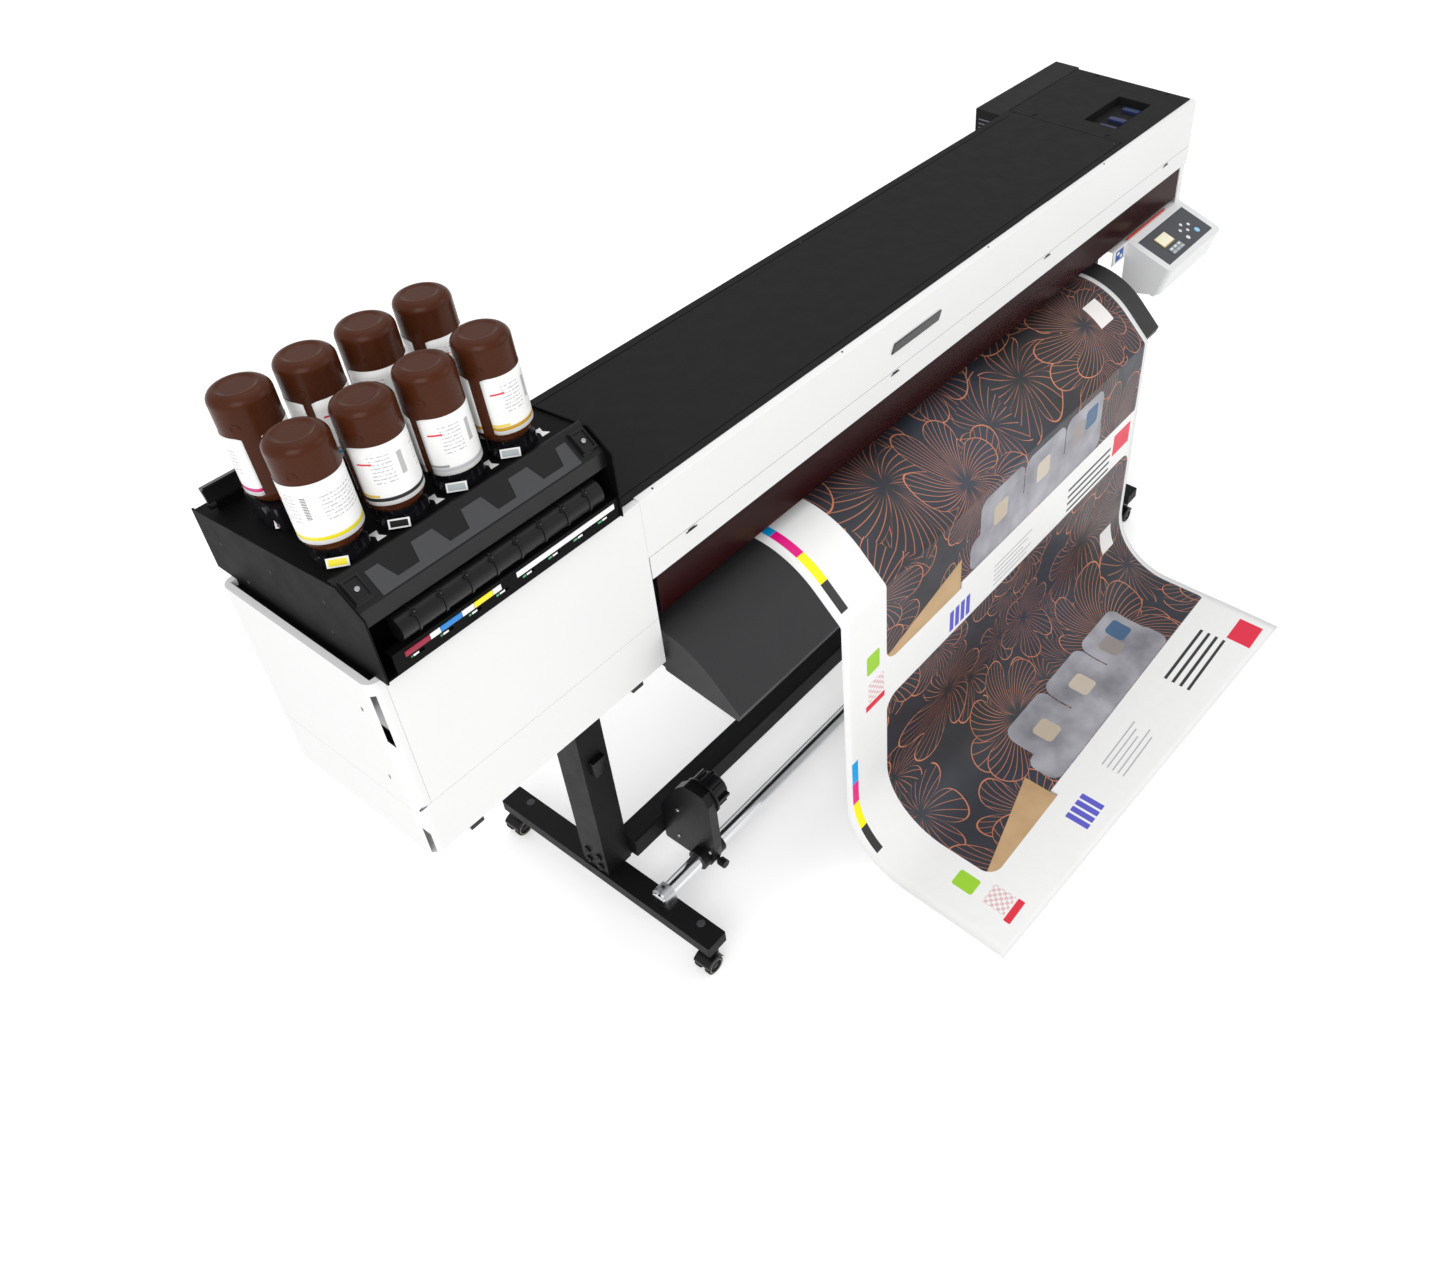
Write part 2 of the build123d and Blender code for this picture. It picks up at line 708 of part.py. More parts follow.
def right_side_cover():
    """White end cover of the right side with the panel bulkhead below the door."""
    t = sheet_t
    z0 = leg_top - 27
    x0 = right_section_x0 + 50
    z1 = cover_top - 1
    plan = RectangleRounded((width - x0) * 2, body_depth, 16)
    block = Pos(x0, body_depth / 2, z0) * extrude(plan, z1 - z0)
    block &= slab(x0, width + 1, -1, body_depth + 1, z0 - 1, z1 + 1)
    block -= slab(x0 - 1, width - t, t, body_depth + 1, z0 - 1, z1 + 1)
    block -= slab(x0 - 1, opening_x1, -1, t + 1, panel_back_z, z1 + 1)
    block -= slab(x0 - 1, width - t, -1, t + 1, door_bottom - gap, z1 + 1)
    block -= slab(opening_x1 - 1, width + 1, -1, 14 + gap, cover_seam, z1 + 1)
    block -= slab(x0 - 1, panel_x0, -1, t + 1, z0 - 1, platen_top - 20)
    ledge = slab(x0, width - t, t, 24, panel_back_z - t, panel_back_z)
    return block + ledge


def front_cover():
    """White upper front cover with its sloped top strip and closed right end."""
    t = sheet_t
    outline = [
        (0, cover_seam + gap),
        (t, cover_seam + gap),
        (t, cover_top - t),
        (14, lid_top - 2 * t),
        (14, lid_top - t),
        (2, cover_top),
        (0, cover_top - 2),
    ]
    strip = prism_x(outline, casing_w, width)
    strip += slab(width - t, width, 0, 14, cover_seam + gap, cover_top - 2)
    return strip


def top_lid():
    """Black top cover with a groove behind its front edge."""
    x0 = tray_x0 + tray_w + touch_clear
    x1 = right_plate_x0 - gap
    t = sheet_t
    lid = slab(x0, x1, 14 + gap, body_depth, lid_top - t, lid_top)
    lid -= slab(x0 - 1, x1 + 1, 28, 31, lid_top - 1.5, lid_top + 1)
    lid += slab(x0, x1, body_depth - t, body_depth, lid_top - 40, lid_top - t)
    return lid


def right_top_plate():
    """Black plate over the carriage park with a viewing hole and oval screw slots."""
    x1 = width - 12.0
    t = sheet_t
    plate = slab(right_plate_x0, x1, 14 + gap, body_depth, lid_top - t, lid_top)
    hx0 = right_plate_x0 + 73
    hx1 = x1 - 108
    hy0 = 82.0
    hy1 = body_depth - 200
    plate -= slab(hx0, hx1, hy0, hy1, lid_top - t - 1, lid_top + 1)
    for x in (right_plate_x0 + 16, x1 - 17):
        for y in (80.0, body_depth - 76):
            plate -= Pos(x, y, lid_top - 1.5) * extrude(SlotOverall(20, 9), 3)
    tub = slab(hx0 - 4, hx1 + 4, hy0 - 4, hy1 + 4, lid_top - 25, lid_top - t)
    tub -= slab(hx0, hx1, hy0, hy1, lid_top - 23, lid_top)
    return plate + tub


def rear_cover():
    """White rear wall above the media slot."""
    t = sheet_t
    y1 = body_depth - sheet_t - touch_clear
    x0 = casing_w * 0.2
    x1 = width - 16
    z0 = platen_top + 35
    wall = slab(x0, x1, y1 - t, y1, z0, lid_top - 42)
    wall += slab(x0, x1, y1 - 16, y1, z0, z0 + t)
    foot_y = rail_beam_y + rail_beam_t
    for x in spread(x0 + 30, x1 - 40, 4):
        wall += slab(x, x + 20, foot_y, y1 - t, rail_beam_z + 30, rail_beam_z + 36)
    return wall


def electrics_box():
    """Black box on the rear right with the mains inlet recess and its three pins."""
    x0 = width - box_w
    y0 = body_depth + touch_clear
    y1 = y0 + box_depth
    z0 = lid_top - box_h
    box = slab(x0, width, y0, y1, z0, lid_top)
    box -= slab(x0 + 2, width - 2, y0 + 2, y1 - 2, z0 + 2, lid_top - 2)
    inlet_x = x0 + 70
    inlet_z = z0 + 45
    rim = slab(inlet_x - 16, inlet_x + 16, y1 - 22, y1, inlet_z - 12, inlet_z + 12)
    box += rim
    box -= slab(inlet_x - 13, inlet_x + 13, y1 - 18, y1 + 1, inlet_z - 9, inlet_z + 9)
    for dx, dz in ((-7, -3), (0, 3), (7, -3)):
        box += slab(inlet_x + dx - 1, inlet_x + dx + 1, y1 - 19, y1 - 9, inlet_z + dz - 2, inlet_z + dz + 2)
    for i in range(6):
        z = z0 + 200 + i * 12
        box -= slab(x0 + 250, x0 + 370, y1 - 3, y1 + 1, z, z + 4)
    box += slab(width - 14, width, body_depth - 30, y0 + 1, z0 + 60, z0 + 80) & slab(
        width - 14, width - sheet_t, body_depth - 30, y0 + 1, z0, lid_top)
    return box


# ---------------------------------------------------------------- door

def hook_spots():
    """X centres of the hook tabs along the door seam."""
    return spread(casing_w + 111, width - 152, 4)


def door_panel():
    """White lower strip of the front door with its hook tabs."""
    t = sheet_t
    x0 = casing_w + 2
    x1 = width - gap
    z1 = cover_seam - gap
    panel = slab(x0, x1, 0, t, door_bottom, z1)
    panel += slab(x0, opening_x1, t, 10, z1 - 14, z1 - 11)
    for x in hook_spots():
        panel += slab(x - 17, x + 17, -1.5, 0, z1 - 9, z1)
    return panel


def door_window():
    """Tinted window carried behind the white strip."""
    t = sheet_t
    x0 = casing_w + 14
    x1 = opening_x1 - 3
    return slab(x0, x1, t, 2 * t, window_bottom, door_bottom + 10)


# ---------------------------------------------------------------- control panel

def panel_frame():
    """Location with X along the panel and Z out of its sloped top, at the back edge."""
    return Pos(panel_x0, -touch_clear, panel_back_z) * Rot(panel_slope, 0, 0)


def panel_housing():
    """White rounded housing with a recess for the face."""
    length = panel_depth / math.cos(math.radians(panel_slope))
    drop = length * math.sin(math.radians(panel_slope))
    front = -panel_depth
    z1 = panel_back_z
    outline = [
        (0, z1),
        (front, z1 - drop),
        (front + 28, z1 - drop - panel_drop),
        (front + 96, z1 - drop - panel_drop - 16),
        (0, z1 - drop - panel_drop - 16),
    ]
    shell = prism_x(outline, panel_x0, panel_x0 + panel_w)
    corners = shell.edges().filter_by_position(Axis.Y, front + 8, front + 20)
    corners = [e for e in corners if e.length < panel_w / 2]
    shell = fillet(corners, 14)
    recess = panel_frame() * Pos(panel_w / 2, -face_margin - face_len / 2, -face_t / 2) * Box(
        face_w + 0.2, face_len + 0.2, face_t)
    cavity = [
        (-4, z1 - 12),
        (front + 10, z1 - drop - 6),
        (front + 33, z1 - drop - panel_drop + 4),
        (front + 98, z1 - drop - panel_drop - 12),
        (-4, z1 - drop - panel_drop - 12),
    ]
    shell -= prism_x(cavity, panel_x0 + 5, panel_x0 + panel_w - 5)
    shell -= rod_y(cable_hole_r, panel_x0 + panel_w / 2, -5, 1, z1 - 40)
    return shell - recess


def face_spot(u, v):
    """Location on the face's top surface, as fractions of its width and length."""
    x = (panel_w - face_w) / 2 + u * face_w
    y = -face_margin - v * face_len
    return panel_frame() * Pos(x, y, 0)


key_spots = {
    "key_up": (0.705, 0.37, key_r),
    "key_down": (0.705, 0.60, key_r),
    "key_left": (0.612, 0.487, key_r),
    "key_right": (0.798, 0.487, key_r),
    "key_enter": (0.81, 0.76, enter_r),
    "key_end": (0.60, 0.76, enter_r * 0.8),
}


def panel_face():
    """Dark face plate with the key holes, the display window and printed-key pad."""
    plate = face_spot(0.5, 0.5) * Pos(0, 0, -face_t / 2) * Box(face_w, face_len, face_t)
    for u, v, r in key_spots.values():
        plate -= face_spot(u, v) * Pos(0, 0, -face_t / 2) * Cylinder(r + key_clear, face_t + 2)
    plate += face_spot(0.31, 0.385) * Pos(0, 0, 0.4) * Box(face_w * 0.255, face_len * 0.39, 0.8)
    plate += face_spot(0.32, 0.775) * Pos(0, 0, 0.4) * Box(face_w * 0.255, face_len * 0.23, 0.8)
    return plate


def panel_key(u, v, r):
    """One round push key, level with its travel kept inside the face."""
    height = face_t - key_travel - 0.2 + key_proud
    key = Cylinder(r, height)
    key = fillet(key.edges().sort_by(Axis.Z)[-1], 0.6)
    return face_spot(u, v) * Pos(0, 0, key_proud - height / 2) * key


# ---------------------------------------------------------------- ink unit

def bottle_spots():
    """X, Y of the eight bottle axes, front row first."""
    spots = []
    for row in range(2):
        for i in range(bottles_per_row):
            x = bottle_x0 + bottle_row_shift[row] + i * bottle_pitch
            spots.append((x, bottle_row_y[row]))
    return spots


def deck_z(y):
    """Height of the sloped tray deck at a given Y."""
    return tray_front_z + deck_slope * (y - tray_deck_front) - 4


def lean_back(shape, x, y):
    """Lean an upright shape that stands on the deck at X, Y to the rear."""
    return shape.rotate(Axis((x, y, deck_z(y)), (1, 0, 0)), -bottle_lean)


def collar_rise(y):
    """Height of a collar's rim over the deck; both rows end at about one level."""
    return collar_front_rise + deck_z(bottle_row_y[0]) - deck_z(y)


def ink_tray():
    """Black sheet-metal tray: side plates, sloped deck, rear wall, fascia and base."""
    x0 = tray_x0
    x1 = tray_x0 + tray_w
    t = plate_t
    base_z = cover_top + 2
    over_rim = rim_top + gap
    in_front = rim_w + 2
    in_back = body_depth - rim_w - 2
    wall_y = ledge_back_y - 6
    side = [
        (tray_back, over_rim),
        (tray_back, tray_back_z),
        (tray_deck_front, tray_front_z),
        (tray_nose, tray_front_z - 38),
        (tray_nose, over_rim),
        (in_front, over_rim),
        (in_front, base_z),
        (in_back, base_z),
        (in_back, over_rim),
    ]
    tray = prism_x(side, x0, x0 + t)
    tray += prism_x(side, x1 - t, x1)
    deck = [
        (tray_back, deck_z(tray_back)),
        (ledge_back_y, deck_z(ledge_back_y)),
        (ledge_back_y, deck_z(ledge_back_y) - t),
        (tray_back, deck_z(tray_back) - t),
    ]
    tray += prism_x(deck, x0, x1)
    tray += slab(x0, x1, tray_back - t, tray_back, over_rim, deck_z(tray_back))
    tray += slab(x0, x1, wall_y, wall_y + t, base_z, deck_z(ledge_back_y) - 1)
    tray += slab(x0, x1, wall_y, ledge_back_y + 2, deck_z(ledge_back_y) - t, deck_z(ledge_back_y) - 1)
    tray += slab(rim_w + 2, x1, in_front, in_back, base_z, base_z + t)
    tray += slab(x0, x1, in_front, in_front + t, base_z, over_rim + t)
    tray += slab(x0, x1, fascia_y, in_front + t, over_rim, over_rim + t)
    tray += slab(x0, x1, in_back - t, in_back, base_z, over_rim + t)
    tray += slab(x0, x1, in_back - t, tray_back, over_rim, over_rim + t)
    fascia_top = over_rim + fascia_h
    tray += slab(x0 + 22, x1, fascia_y, fascia_y + t, over_rim, fascia_top)
    tray += slab(x0 + 22, x1, fascia_y, 2, fascia_top - t, fascia_top)
    for x in spread(x0 + 62, x1 - 42, 8):
        tray -= slab(x - 12, x + 12, fascia_y - 1, fascia_y + t + 1, over_rim + 14, over_rim + 19)
    for x, y in bottle_spots():
        hole = rod_z(collar_r + run_clear, x, y, deck_z(y) - 20, deck_z(y) + 20)
        tray -= lean_back(hole, x, y)
    return tray


def tray_ledge():
    """Sloped front ledge over the bottle tray with an end block at each side."""
    x0 = tray_x0 + plate_t
    x1 = tray_x0 + tray_w - plate_t
    top = deck_z(ledge_back_y)
    wall_y = ledge_back_y - 6
    outline = [
        (ledge_back_y, top + 9),
        (ledge_back_y, top),
        (wall_y, top - 1),
        (wall_y, top - 6),
        (2, top - 38),
        (2, top - 62),
        (-3, top - 62),
        (-3, top - 30),
        (ledge_back_y - 4, top + 9),
    ]
    ledge = prism_x(outline, x0, x1)
    block = [
        (ledge_back_y - 10, top + 4),
        (4, top - 25),
        (4, top - 18),
        (ledge_back_y - 14, top + 8),
    ]
    for side_x in (x0 + 6, x1 - 36):
        ledge += prism_x(block, side_x, side_x + 30)
    return ledge


def tube_cover():
    """Half-round ribbed cover below the ledge."""
    x0 = tray_x0 + 48
    x1 = tray_x0 + tray_w - 32
    r = tube_cover_r
    y = tray_nose + r
    z = deck_z(ledge_back_y) - 97
    body = rod_x(r, x0, x1, y, z)
    body -= rod_x(r - 3, x0 + 3, x1 - 3, y, z)
    for x in spread(x0 + 30, x1 - 30, 8):
        ring = rod_x(r + 2, x - 2, x + 2, y, z) - rod_x(r - 1, x - 3, x + 3, y, z)
        body += ring
    body &= slab(x0 - 1, x1 + 1, tray_nose - 3, y + 12, z - r - 3, z + r + 3)
    body += slab(x0, x1, y + 9, ledge_back_y - 6, z + 12, z + 15)
    return body


def bottle_collars():
    """Lobed collars that receive the bottle necks; the rear left one is a square block."""
    solids = []
    for i, (x, y) in enumerate(bottle_spots()):
        z0 = deck_z(y) - 25
        top = deck_z(y) + collar_rise(y)
        collar = rod_z(collar_r, x, y, z0, top - lobe_h)
        collar += rod_z(neck_r + 7, x, y, z0, top)
        lobe_x = collar_r - lobe_r + 3
        for k in range(lobe_count):
            turn = 2 * math.pi * k / lobe_count + 0.3
            lx = x + lobe_x * math.cos(turn)
            ly = y + lobe_x * math.sin(turn)
            collar += rod_z(lobe_r, lx, ly, deck_z(y) + 4, top - 4)
        if i == bottles_per_row:
            block = slab(x - 38, x + 38, y - 44, y + 44, deck_z(y) + 4, top)
            collar += fillet(block.edges().filter_by(Axis.Z), 6)
        collar -= rod_z(neck_r + run_clear, x, y, z0 + 6, top + 1)
        solids.append(lean_back(collar, x, y))
    return Compound(solids)


def ink_bottle(x, y):
    """Inverted bottle: neck down, rounded base up."""
    shoulder = deck_z(y) + collar_rise(y) + touch_clear
    z0 = shoulder - neck_len
    top = shoulder + bottle_h
    with BuildPart() as bottle:
        with BuildSketch(Plane.XZ):
            with BuildLine():
                Line((0, z0), (neck_r, z0))
                Line((neck_r, z0), (neck_r, shoulder))
                Line((neck_r, shoulder), (neck_r + 8, shoulder))
                ThreePointArc((neck_r + 8, shoulder), (bottle_r - 5, shoulder + 9), (bottle_r, shoulder + 22))
                Line((bottle_r, shoulder + 22), (bottle_r, top - 16))
                ThreePointArc((bottle_r, top - 16), (bottle_r - 5, top - 5), (bottle_r - 16, top))
                Line((bottle_r - 16, top), (bottle_r - 22, top - 2))
                Line((bottle_r - 22, top - 2), (0, top - 2))
                Line((0, top - 2), (0, z0))
            make_face()
        revolve(axis=Axis.Z)
    return lean_back(Pos(x, y, 0) * bottle.part, x, y)


def flap_axis():
    """Left end X, Y and Z of the folding cover's hinge."""
    y = tray_back - 37
    return tray_x0 + 14, y, deck_z(y) + 12


def bottle_flap():
    """Small folding cover behind the rear left socket, shown half open to the rear."""
    x0, y, z = flap_axis()
    x1 = x0 + flap_w
    flap = slab(x0, x1, y + 6, y + flap_len, z - 2, z + 3)
    flap += slab(x0, x1, y + flap_len - 4, y + flap_len, z - 2, z + 12)
    for x in (x0, x1 - flap_knuckle_w):
        flap += rod_x(6, x, x + flap_knuckle_w, y, z)
        flap += slab(x, x + flap_knuckle_w, y, y + 8, z - 2, z + 3)
    flap -= rod_x(3 + run_clear, x0 - 1, x1 + 1, y, z)
    return flap.rotate(Axis((0, y, z), (1, 0, 0)), flap_open)


def flap_hinge():
    """Pin and ears that carry the folding cover."""
    x0, y, z = flap_axis()
    x1 = x0 + flap_w
    ear_x0 = x0 + flap_knuckle_w + touch_clear
    ear_x1 = x1 - flap_knuckle_w - touch_clear
    ear = slab(ear_x0, ear_x1, y - 4, y + 4, deck_z(y) - 1, z + 4)
    return ear + rod_x(3, x0 - 2, x1 + 2, y, z)


# ---------------------------------------------------------------- assembly

def build():
    left_leg = leg()
    add("leg_left", left_leg)
    add("leg_right", mirror_stand(left_leg))
    add("cross_beam", cross_beam())
    add("stand_bolts", stand_bolts())
    centre = foot_x0 + foot_w / 2
    for side, x in (("left", centre), ("right", 2 * mid_x - centre)):
        for where, (cx, cy) in zip(("front", "rear"), caster_spots(x)):
            add(f"caster_fork_{where}_{side}", caster_fork(cx, cy))
            add(f"caster_wheels_{where}_{side}", caster_wheels(cx, cy))
    add("take_up_rail", take_up_rail())
    clamp = rail_clamp()
    add("take_up_rail_clamps", Compound([clamp, mirror_stand(clamp)]))
    bracket = take_up_bracket()
    hub = take_up_hub()
    add("take_up_bracket_left", bracket)
    add("take_up_bracket_right", mirror_stand(bracket + take_up_motor()))
    add("take_up_hub_left", hub)
    add("take_up_hub_right", mirror_stand(hub))
    add("chassis_beam", chassis_beam())
    add("carriage_beam", carriage_beam())
    add("platen", platen())
    add("front_apron", front_apron())
    add("grit_roller", grit_roller())
    add("pinch_bar", pinch_bar())
    add("print_carriage", print_carriage())
    add("roll_holders", roll_holders())
    add("media_roll", media_roll())
    add("media_sheet", media_sheet())
    add("left_side_cover", left_side_cover())
    add("left_front_panel", left_front_panel())
    add("left_skirt", left_skirt())
    add("right_side_cover", right_side_cover())
    add("front_cover", front_cover())
    add("top_lid", top_lid())
    add("right_top_plate", right_top_plate())
    add("rear_cover", rear_cover())
    add("electrics_box", electrics_box())
    add("door_panel", door_panel())
    add("door_window", door_window())
    add("panel_housing", panel_housing())
    add("panel_face", panel_face())
    for name, (u, v, r) in key_spots.items():
        add(name, panel_key(u, v, r))
    add("ink_tray", ink_tray() + flap_hinge())
    add("tray_ledge", tray_ledge())
    add("tube_cover", tube_cover())
    add("bottle_collars", bottle_collars())
    for i, (x, y) in enumerate(bottle_spots()):
        add(f"ink_bottle_{i + 1}", ink_bottle(x, y))
    add("bottle_flap", bottle_flap())


build()
for node, shape in nodes.items():
    export_step(shape, f"parts/{node}.step")
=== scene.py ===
import bmesh
import bpy
import math
import random
from mathutils import Matrix, Vector
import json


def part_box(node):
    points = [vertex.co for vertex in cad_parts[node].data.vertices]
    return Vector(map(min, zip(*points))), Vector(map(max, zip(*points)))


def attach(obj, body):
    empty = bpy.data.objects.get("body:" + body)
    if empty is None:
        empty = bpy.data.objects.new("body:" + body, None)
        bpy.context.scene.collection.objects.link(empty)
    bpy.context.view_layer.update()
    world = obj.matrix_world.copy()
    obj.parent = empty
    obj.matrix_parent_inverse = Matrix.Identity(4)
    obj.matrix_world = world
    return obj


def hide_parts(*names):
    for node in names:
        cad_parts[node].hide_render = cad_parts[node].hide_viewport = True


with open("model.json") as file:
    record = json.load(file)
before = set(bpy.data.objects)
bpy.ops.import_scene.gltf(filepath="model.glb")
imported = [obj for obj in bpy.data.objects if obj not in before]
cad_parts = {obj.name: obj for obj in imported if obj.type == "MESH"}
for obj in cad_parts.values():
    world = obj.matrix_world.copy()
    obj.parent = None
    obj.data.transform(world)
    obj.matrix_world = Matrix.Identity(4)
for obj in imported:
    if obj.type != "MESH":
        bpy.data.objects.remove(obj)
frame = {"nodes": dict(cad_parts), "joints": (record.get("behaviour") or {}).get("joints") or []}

random.seed(7)
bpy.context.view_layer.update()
nodes = frame["nodes"]
box = {name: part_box(name) for name in nodes}
joints = {joint["name"]: joint for joint in frame["joints"]}

# Design axes used below, in metres: X from the left end, Y from the front faces, Z from the floor.
left_x = box["left_side_cover"][0].x
front_y = box["front_cover"][0].y
total_w = box["left_side_cover"][0].x + box["electrics_box"][1].x - 2 * left_x
cover_seam = joints["door_open"]["pos_m"][2]
rim_top = box["left_side_cover"][1].z
lid_top = box["top_lid"][1].z
deck_slope = -0.048 / 0.392  # change of the ink tray's deck height per metre of Y
floor_run = 0.363  # length of the web that lies flat on the floor
floor_bend = 0.29  # length of the web's bend from the floor up to where it hangs


def at(x, y, z):
    """A point of the design axes in the row frame."""
    return Vector((left_x + x, front_y + y, z))


# ---------------------------------------------------------------- camera

cam_data = bpy.data.cameras.new("camera")
camera = bpy.data.objects.new("camera", cam_data)
bpy.context.scene.collection.objects.link(camera)
cam_data.lens = 31.548
cam_data.sensor_width = 36
cam_data.shift_x = -0.1273
cam_data.shift_y = -0.0822
cam_data.clip_end = 100
turn = Matrix.Rotation(math.radians(-54.555), 4, "Z")
tip = Matrix.Rotation(math.radians(90 - 40.534), 4, "X")
roll = Matrix.Rotation(math.radians(0.58), 4, "Z")
camera.matrix_world = Matrix.Translation((-1.94776, -1.27926, 2.68734)) @ turn @ tip @ roll
bpy.context.scene.camera = camera


# ---------------------------------------------------------------- shading

class Shade:
    """A node tree with short helpers."""

    def __init__(self, name):
        self.mat = bpy.data.materials.new(name)
        self.mat.use_nodes = True
        self.tree = self.mat.node_tree
        self.bsdf = self.tree.nodes["Principled BSDF"]
        self.out = self.tree.nodes["Material Output"]

    def node(self, kind, **inputs):
        made = self.tree.nodes.new(kind)
        for key, value in inputs.items():
            self.put(made.inputs[key.replace("_", " ")], value)
        return made

    def put(self, socket, value):
        if isinstance(value, bpy.types.NodeSocket):
            self.tree.links.new(value, socket)
        else:
            socket.default_value = value

    def math(self, operation, a, b=0.0, c=0.0):
        made = self.tree.nodes.new("ShaderNodeMath")
        made.operation = operation
        for socket, value in zip(made.inputs, (a, b, c)):
            self.put(socket, value)
        return made.outputs[0]

    def mix(self, factor, a, b):
        made = self.tree.nodes.new("ShaderNodeMix")
        made.data_type = "RGBA"
        self.put(made.inputs[0], factor)
        self.put(made.inputs[6], a)
        self.put(made.inputs[7], b)
        return made.outputs[2]

    def ramp(self, value, low, high, to_low=0.0, to_high=1.0):
        made = self.node("ShaderNodeMapRange")
        for socket, number in zip(made.inputs, (value, low, high, to_low, to_high)):
            self.put(socket, number)
        return made.outputs[0]

    def noise(self, scale, detail=3.0, vector=None):
        made = self.node("ShaderNodeTexNoise", Scale=scale, Detail=detail)
        self.put(made.inputs["Vector"], vector or self.coords())
        return made.outputs["Fac"]

    def coords(self, kind="Object"):
        return self.node("ShaderNodeTexCoord").outputs[kind]

    def bump(self, height, strength, distance):
        made = self.node("ShaderNodeBump", Height=height, Strength=strength, Distance=distance)
        self.put(self.bsdf.inputs["Normal"], made.outputs[0])

    def set(self, **inputs):
        for key, value in inputs.items():
            self.put(self.bsdf.inputs[key.replace("_", " ")], value)


def rgba(color):
    return (*color, 1.0)


def surface(name, color, rough, metal=0.0, specular=0.5, grain=900.0, relief=0.1, wear=0.05):
    """A plain finish with slight mottling, uneven gloss and a fine relief."""
    s = Shade(name)
    cloud = s.noise(6.0)
    dark = rgba([c * (1 - wear) for c in color])
    light = rgba([min(1.0, c * (1 + wear * 0.6)) for c in color])
    s.set(Base_Color=s.mix(cloud, dark, light), Metallic=metal, Specular_IOR_Level=specular)
    smudge = s.noise(23.0, 4.0)
    s.set(Roughness=s.ramp(smudge, 0.3, 0.7, rough * 0.94, min(1.0, rough * 1.07)))
    s.bump(s.noise(grain, 2.0), relief, 0.0003)
    return s.mat


white = surface("white_paint", (0.77, 0.77, 0.765), 0.42, specular=0.30, relief=0.06, wear=0.015)
white_plastic = surface("white_moulding", (0.74, 0.745, 0.75), 0.38, specular=0.35, relief=0.05, wear=0.015)
black = surface("black_paint", (0.008, 0.008, 0.0085), 0.5, specular=0.13, relief=0.22, wear=0.08)
tray_black = surface("tray_paint", (0.003, 0.003, 0.003), 0.55, specular=0.07, relief=0.2, wear=0.08)
lid_black = surface("lid_paint", (0.012, 0.012, 0.0125), 0.6, specular=0.10,
                    grain=1400, relief=0.3, wear=0.05)
apron_black = surface("apron_paint", (0.020, 0.020, 0.022), 0.5, specular=0.34,
                      grain=1100, relief=0.2, wear=0.08)
casting = surface("cast_black", (0.005, 0.005, 0.006), 0.38, specular=0.22, grain=700, relief=0.35, wear=0.25)
plastic = surface("black_plastic", (0.007, 0.007, 0.008), 0.32, specular=0.26,
                  grain=1500, relief=0.15, wear=0.2)
gloss_black = surface("collar_black", (0.008, 0.008, 0.010), 0.16, specular=0.45, relief=0.04, wear=0.2)
rubber = surface("caster_rubber", (0.017, 0.017, 0.017), 0.72, specular=0.25, relief=0.4, wear=0.25)
tread = surface("caster_tread", (0.42, 0.39, 0.34), 0.7, specular=0.25, relief=0.3, wear=0.2)
chrome = surface("rail_chrome", (0.80, 0.81, 0.83), 0.09, metal=1.0, relief=0.02, wear=0.04)
zinc = surface("zinc", (0.58, 0.59, 0.61), 0.34, metal=1.0, relief=0.3, wear=0.12)
steel = surface("ground_steel", (0.50, 0.50, 0.52), 0.26, metal=1.0, relief=0.1, wear=0.1)
rail_metal = surface("rail_metal", (0.36, 0.36, 0.38), 0.38, metal=1.0, relief=0.12, wear=0.1)
dark_metal = surface("dark_anodised", (0.05, 0.05, 0.055), 0.42, metal=0.6, relief=0.12, wear=0.15)
face_grey = surface("panel_face", (0.055, 0.060, 0.070), 0.34, specular=0.4, relief=0.05, wear=0.06)
key_white = surface("key_white", (0.74, 0.76, 0.78), 0.3, specular=0.4, relief=0.03, wear=0.03)
key_blue = surface("key_blue", (0.30, 0.62, 0.95), 0.25, specular=0.4, relief=0.03, wear=0.03)
seam_grey = surface("seam_grey", (0.14, 0.135, 0.17), 0.7, specular=0.2, wear=0.08)
tooth_grey = surface("tooth_grey", (0.050, 0.051, 0.055), 0.55, specular=0.3, relief=0.2, wear=0.08)
roll_white = surface("roll_white", (0.84, 0.84, 0.83), 0.5, specular=0.3, relief=0.05, wear=0.03)
core_card = surface("core_card", (0.42, 0.30, 0.19), 0.8, specular=0.2, relief=0.5, wear=0.15)
red_strip = surface("red_strip", (0.55, 0.03, 0.02), 0.35, specular=0.35, wear=0.08)
seam_black = surface("seam_black", (0.002, 0.002, 0.002), 0.8, specular=0.05, relief=0.0, wear=0.1)
badge_grey = surface("badge_grey", (0.030, 0.028, 0.028), 0.25, specular=0.5, wear=0.08)
label_blue = surface("label_blue", (0.03, 0.10, 0.38), 0.35, specular=0.35, wear=0.05)
label_yellow = surface("label_yellow", (0.80, 0.62, 0.02), 0.4, specular=0.35, wear=0.05)
mark_white = surface("mark_white", (0.85, 0.85, 0.84), 0.45, specular=0.3, wear=0.03)
bar_magenta = surface("bar_magenta", (0.30, 0.008, 0.04), 0.35, specular=0.35, wear=0.05)
bar_blue = surface("bar_blue", (0.02, 0.22, 0.62), 0.35, specular=0.35, wear=0.05)
bar_yellow = surface("bar_yellow", (0.90, 0.76, 0.02), 0.35, specular=0.35, wear=0.05)
bar_green = surface("bar_green", (0.10, 0.42, 0.20), 0.35, specular=0.35, wear=0.05)
pad_grey = surface("pad_grey", (0.42, 0.46, 0.48), 0.4, specular=0.3, wear=0.04)
screen_gold = surface("screen_gold", (0.45, 0.32, 0.08), 0.35, specular=0.35, wear=0.05)
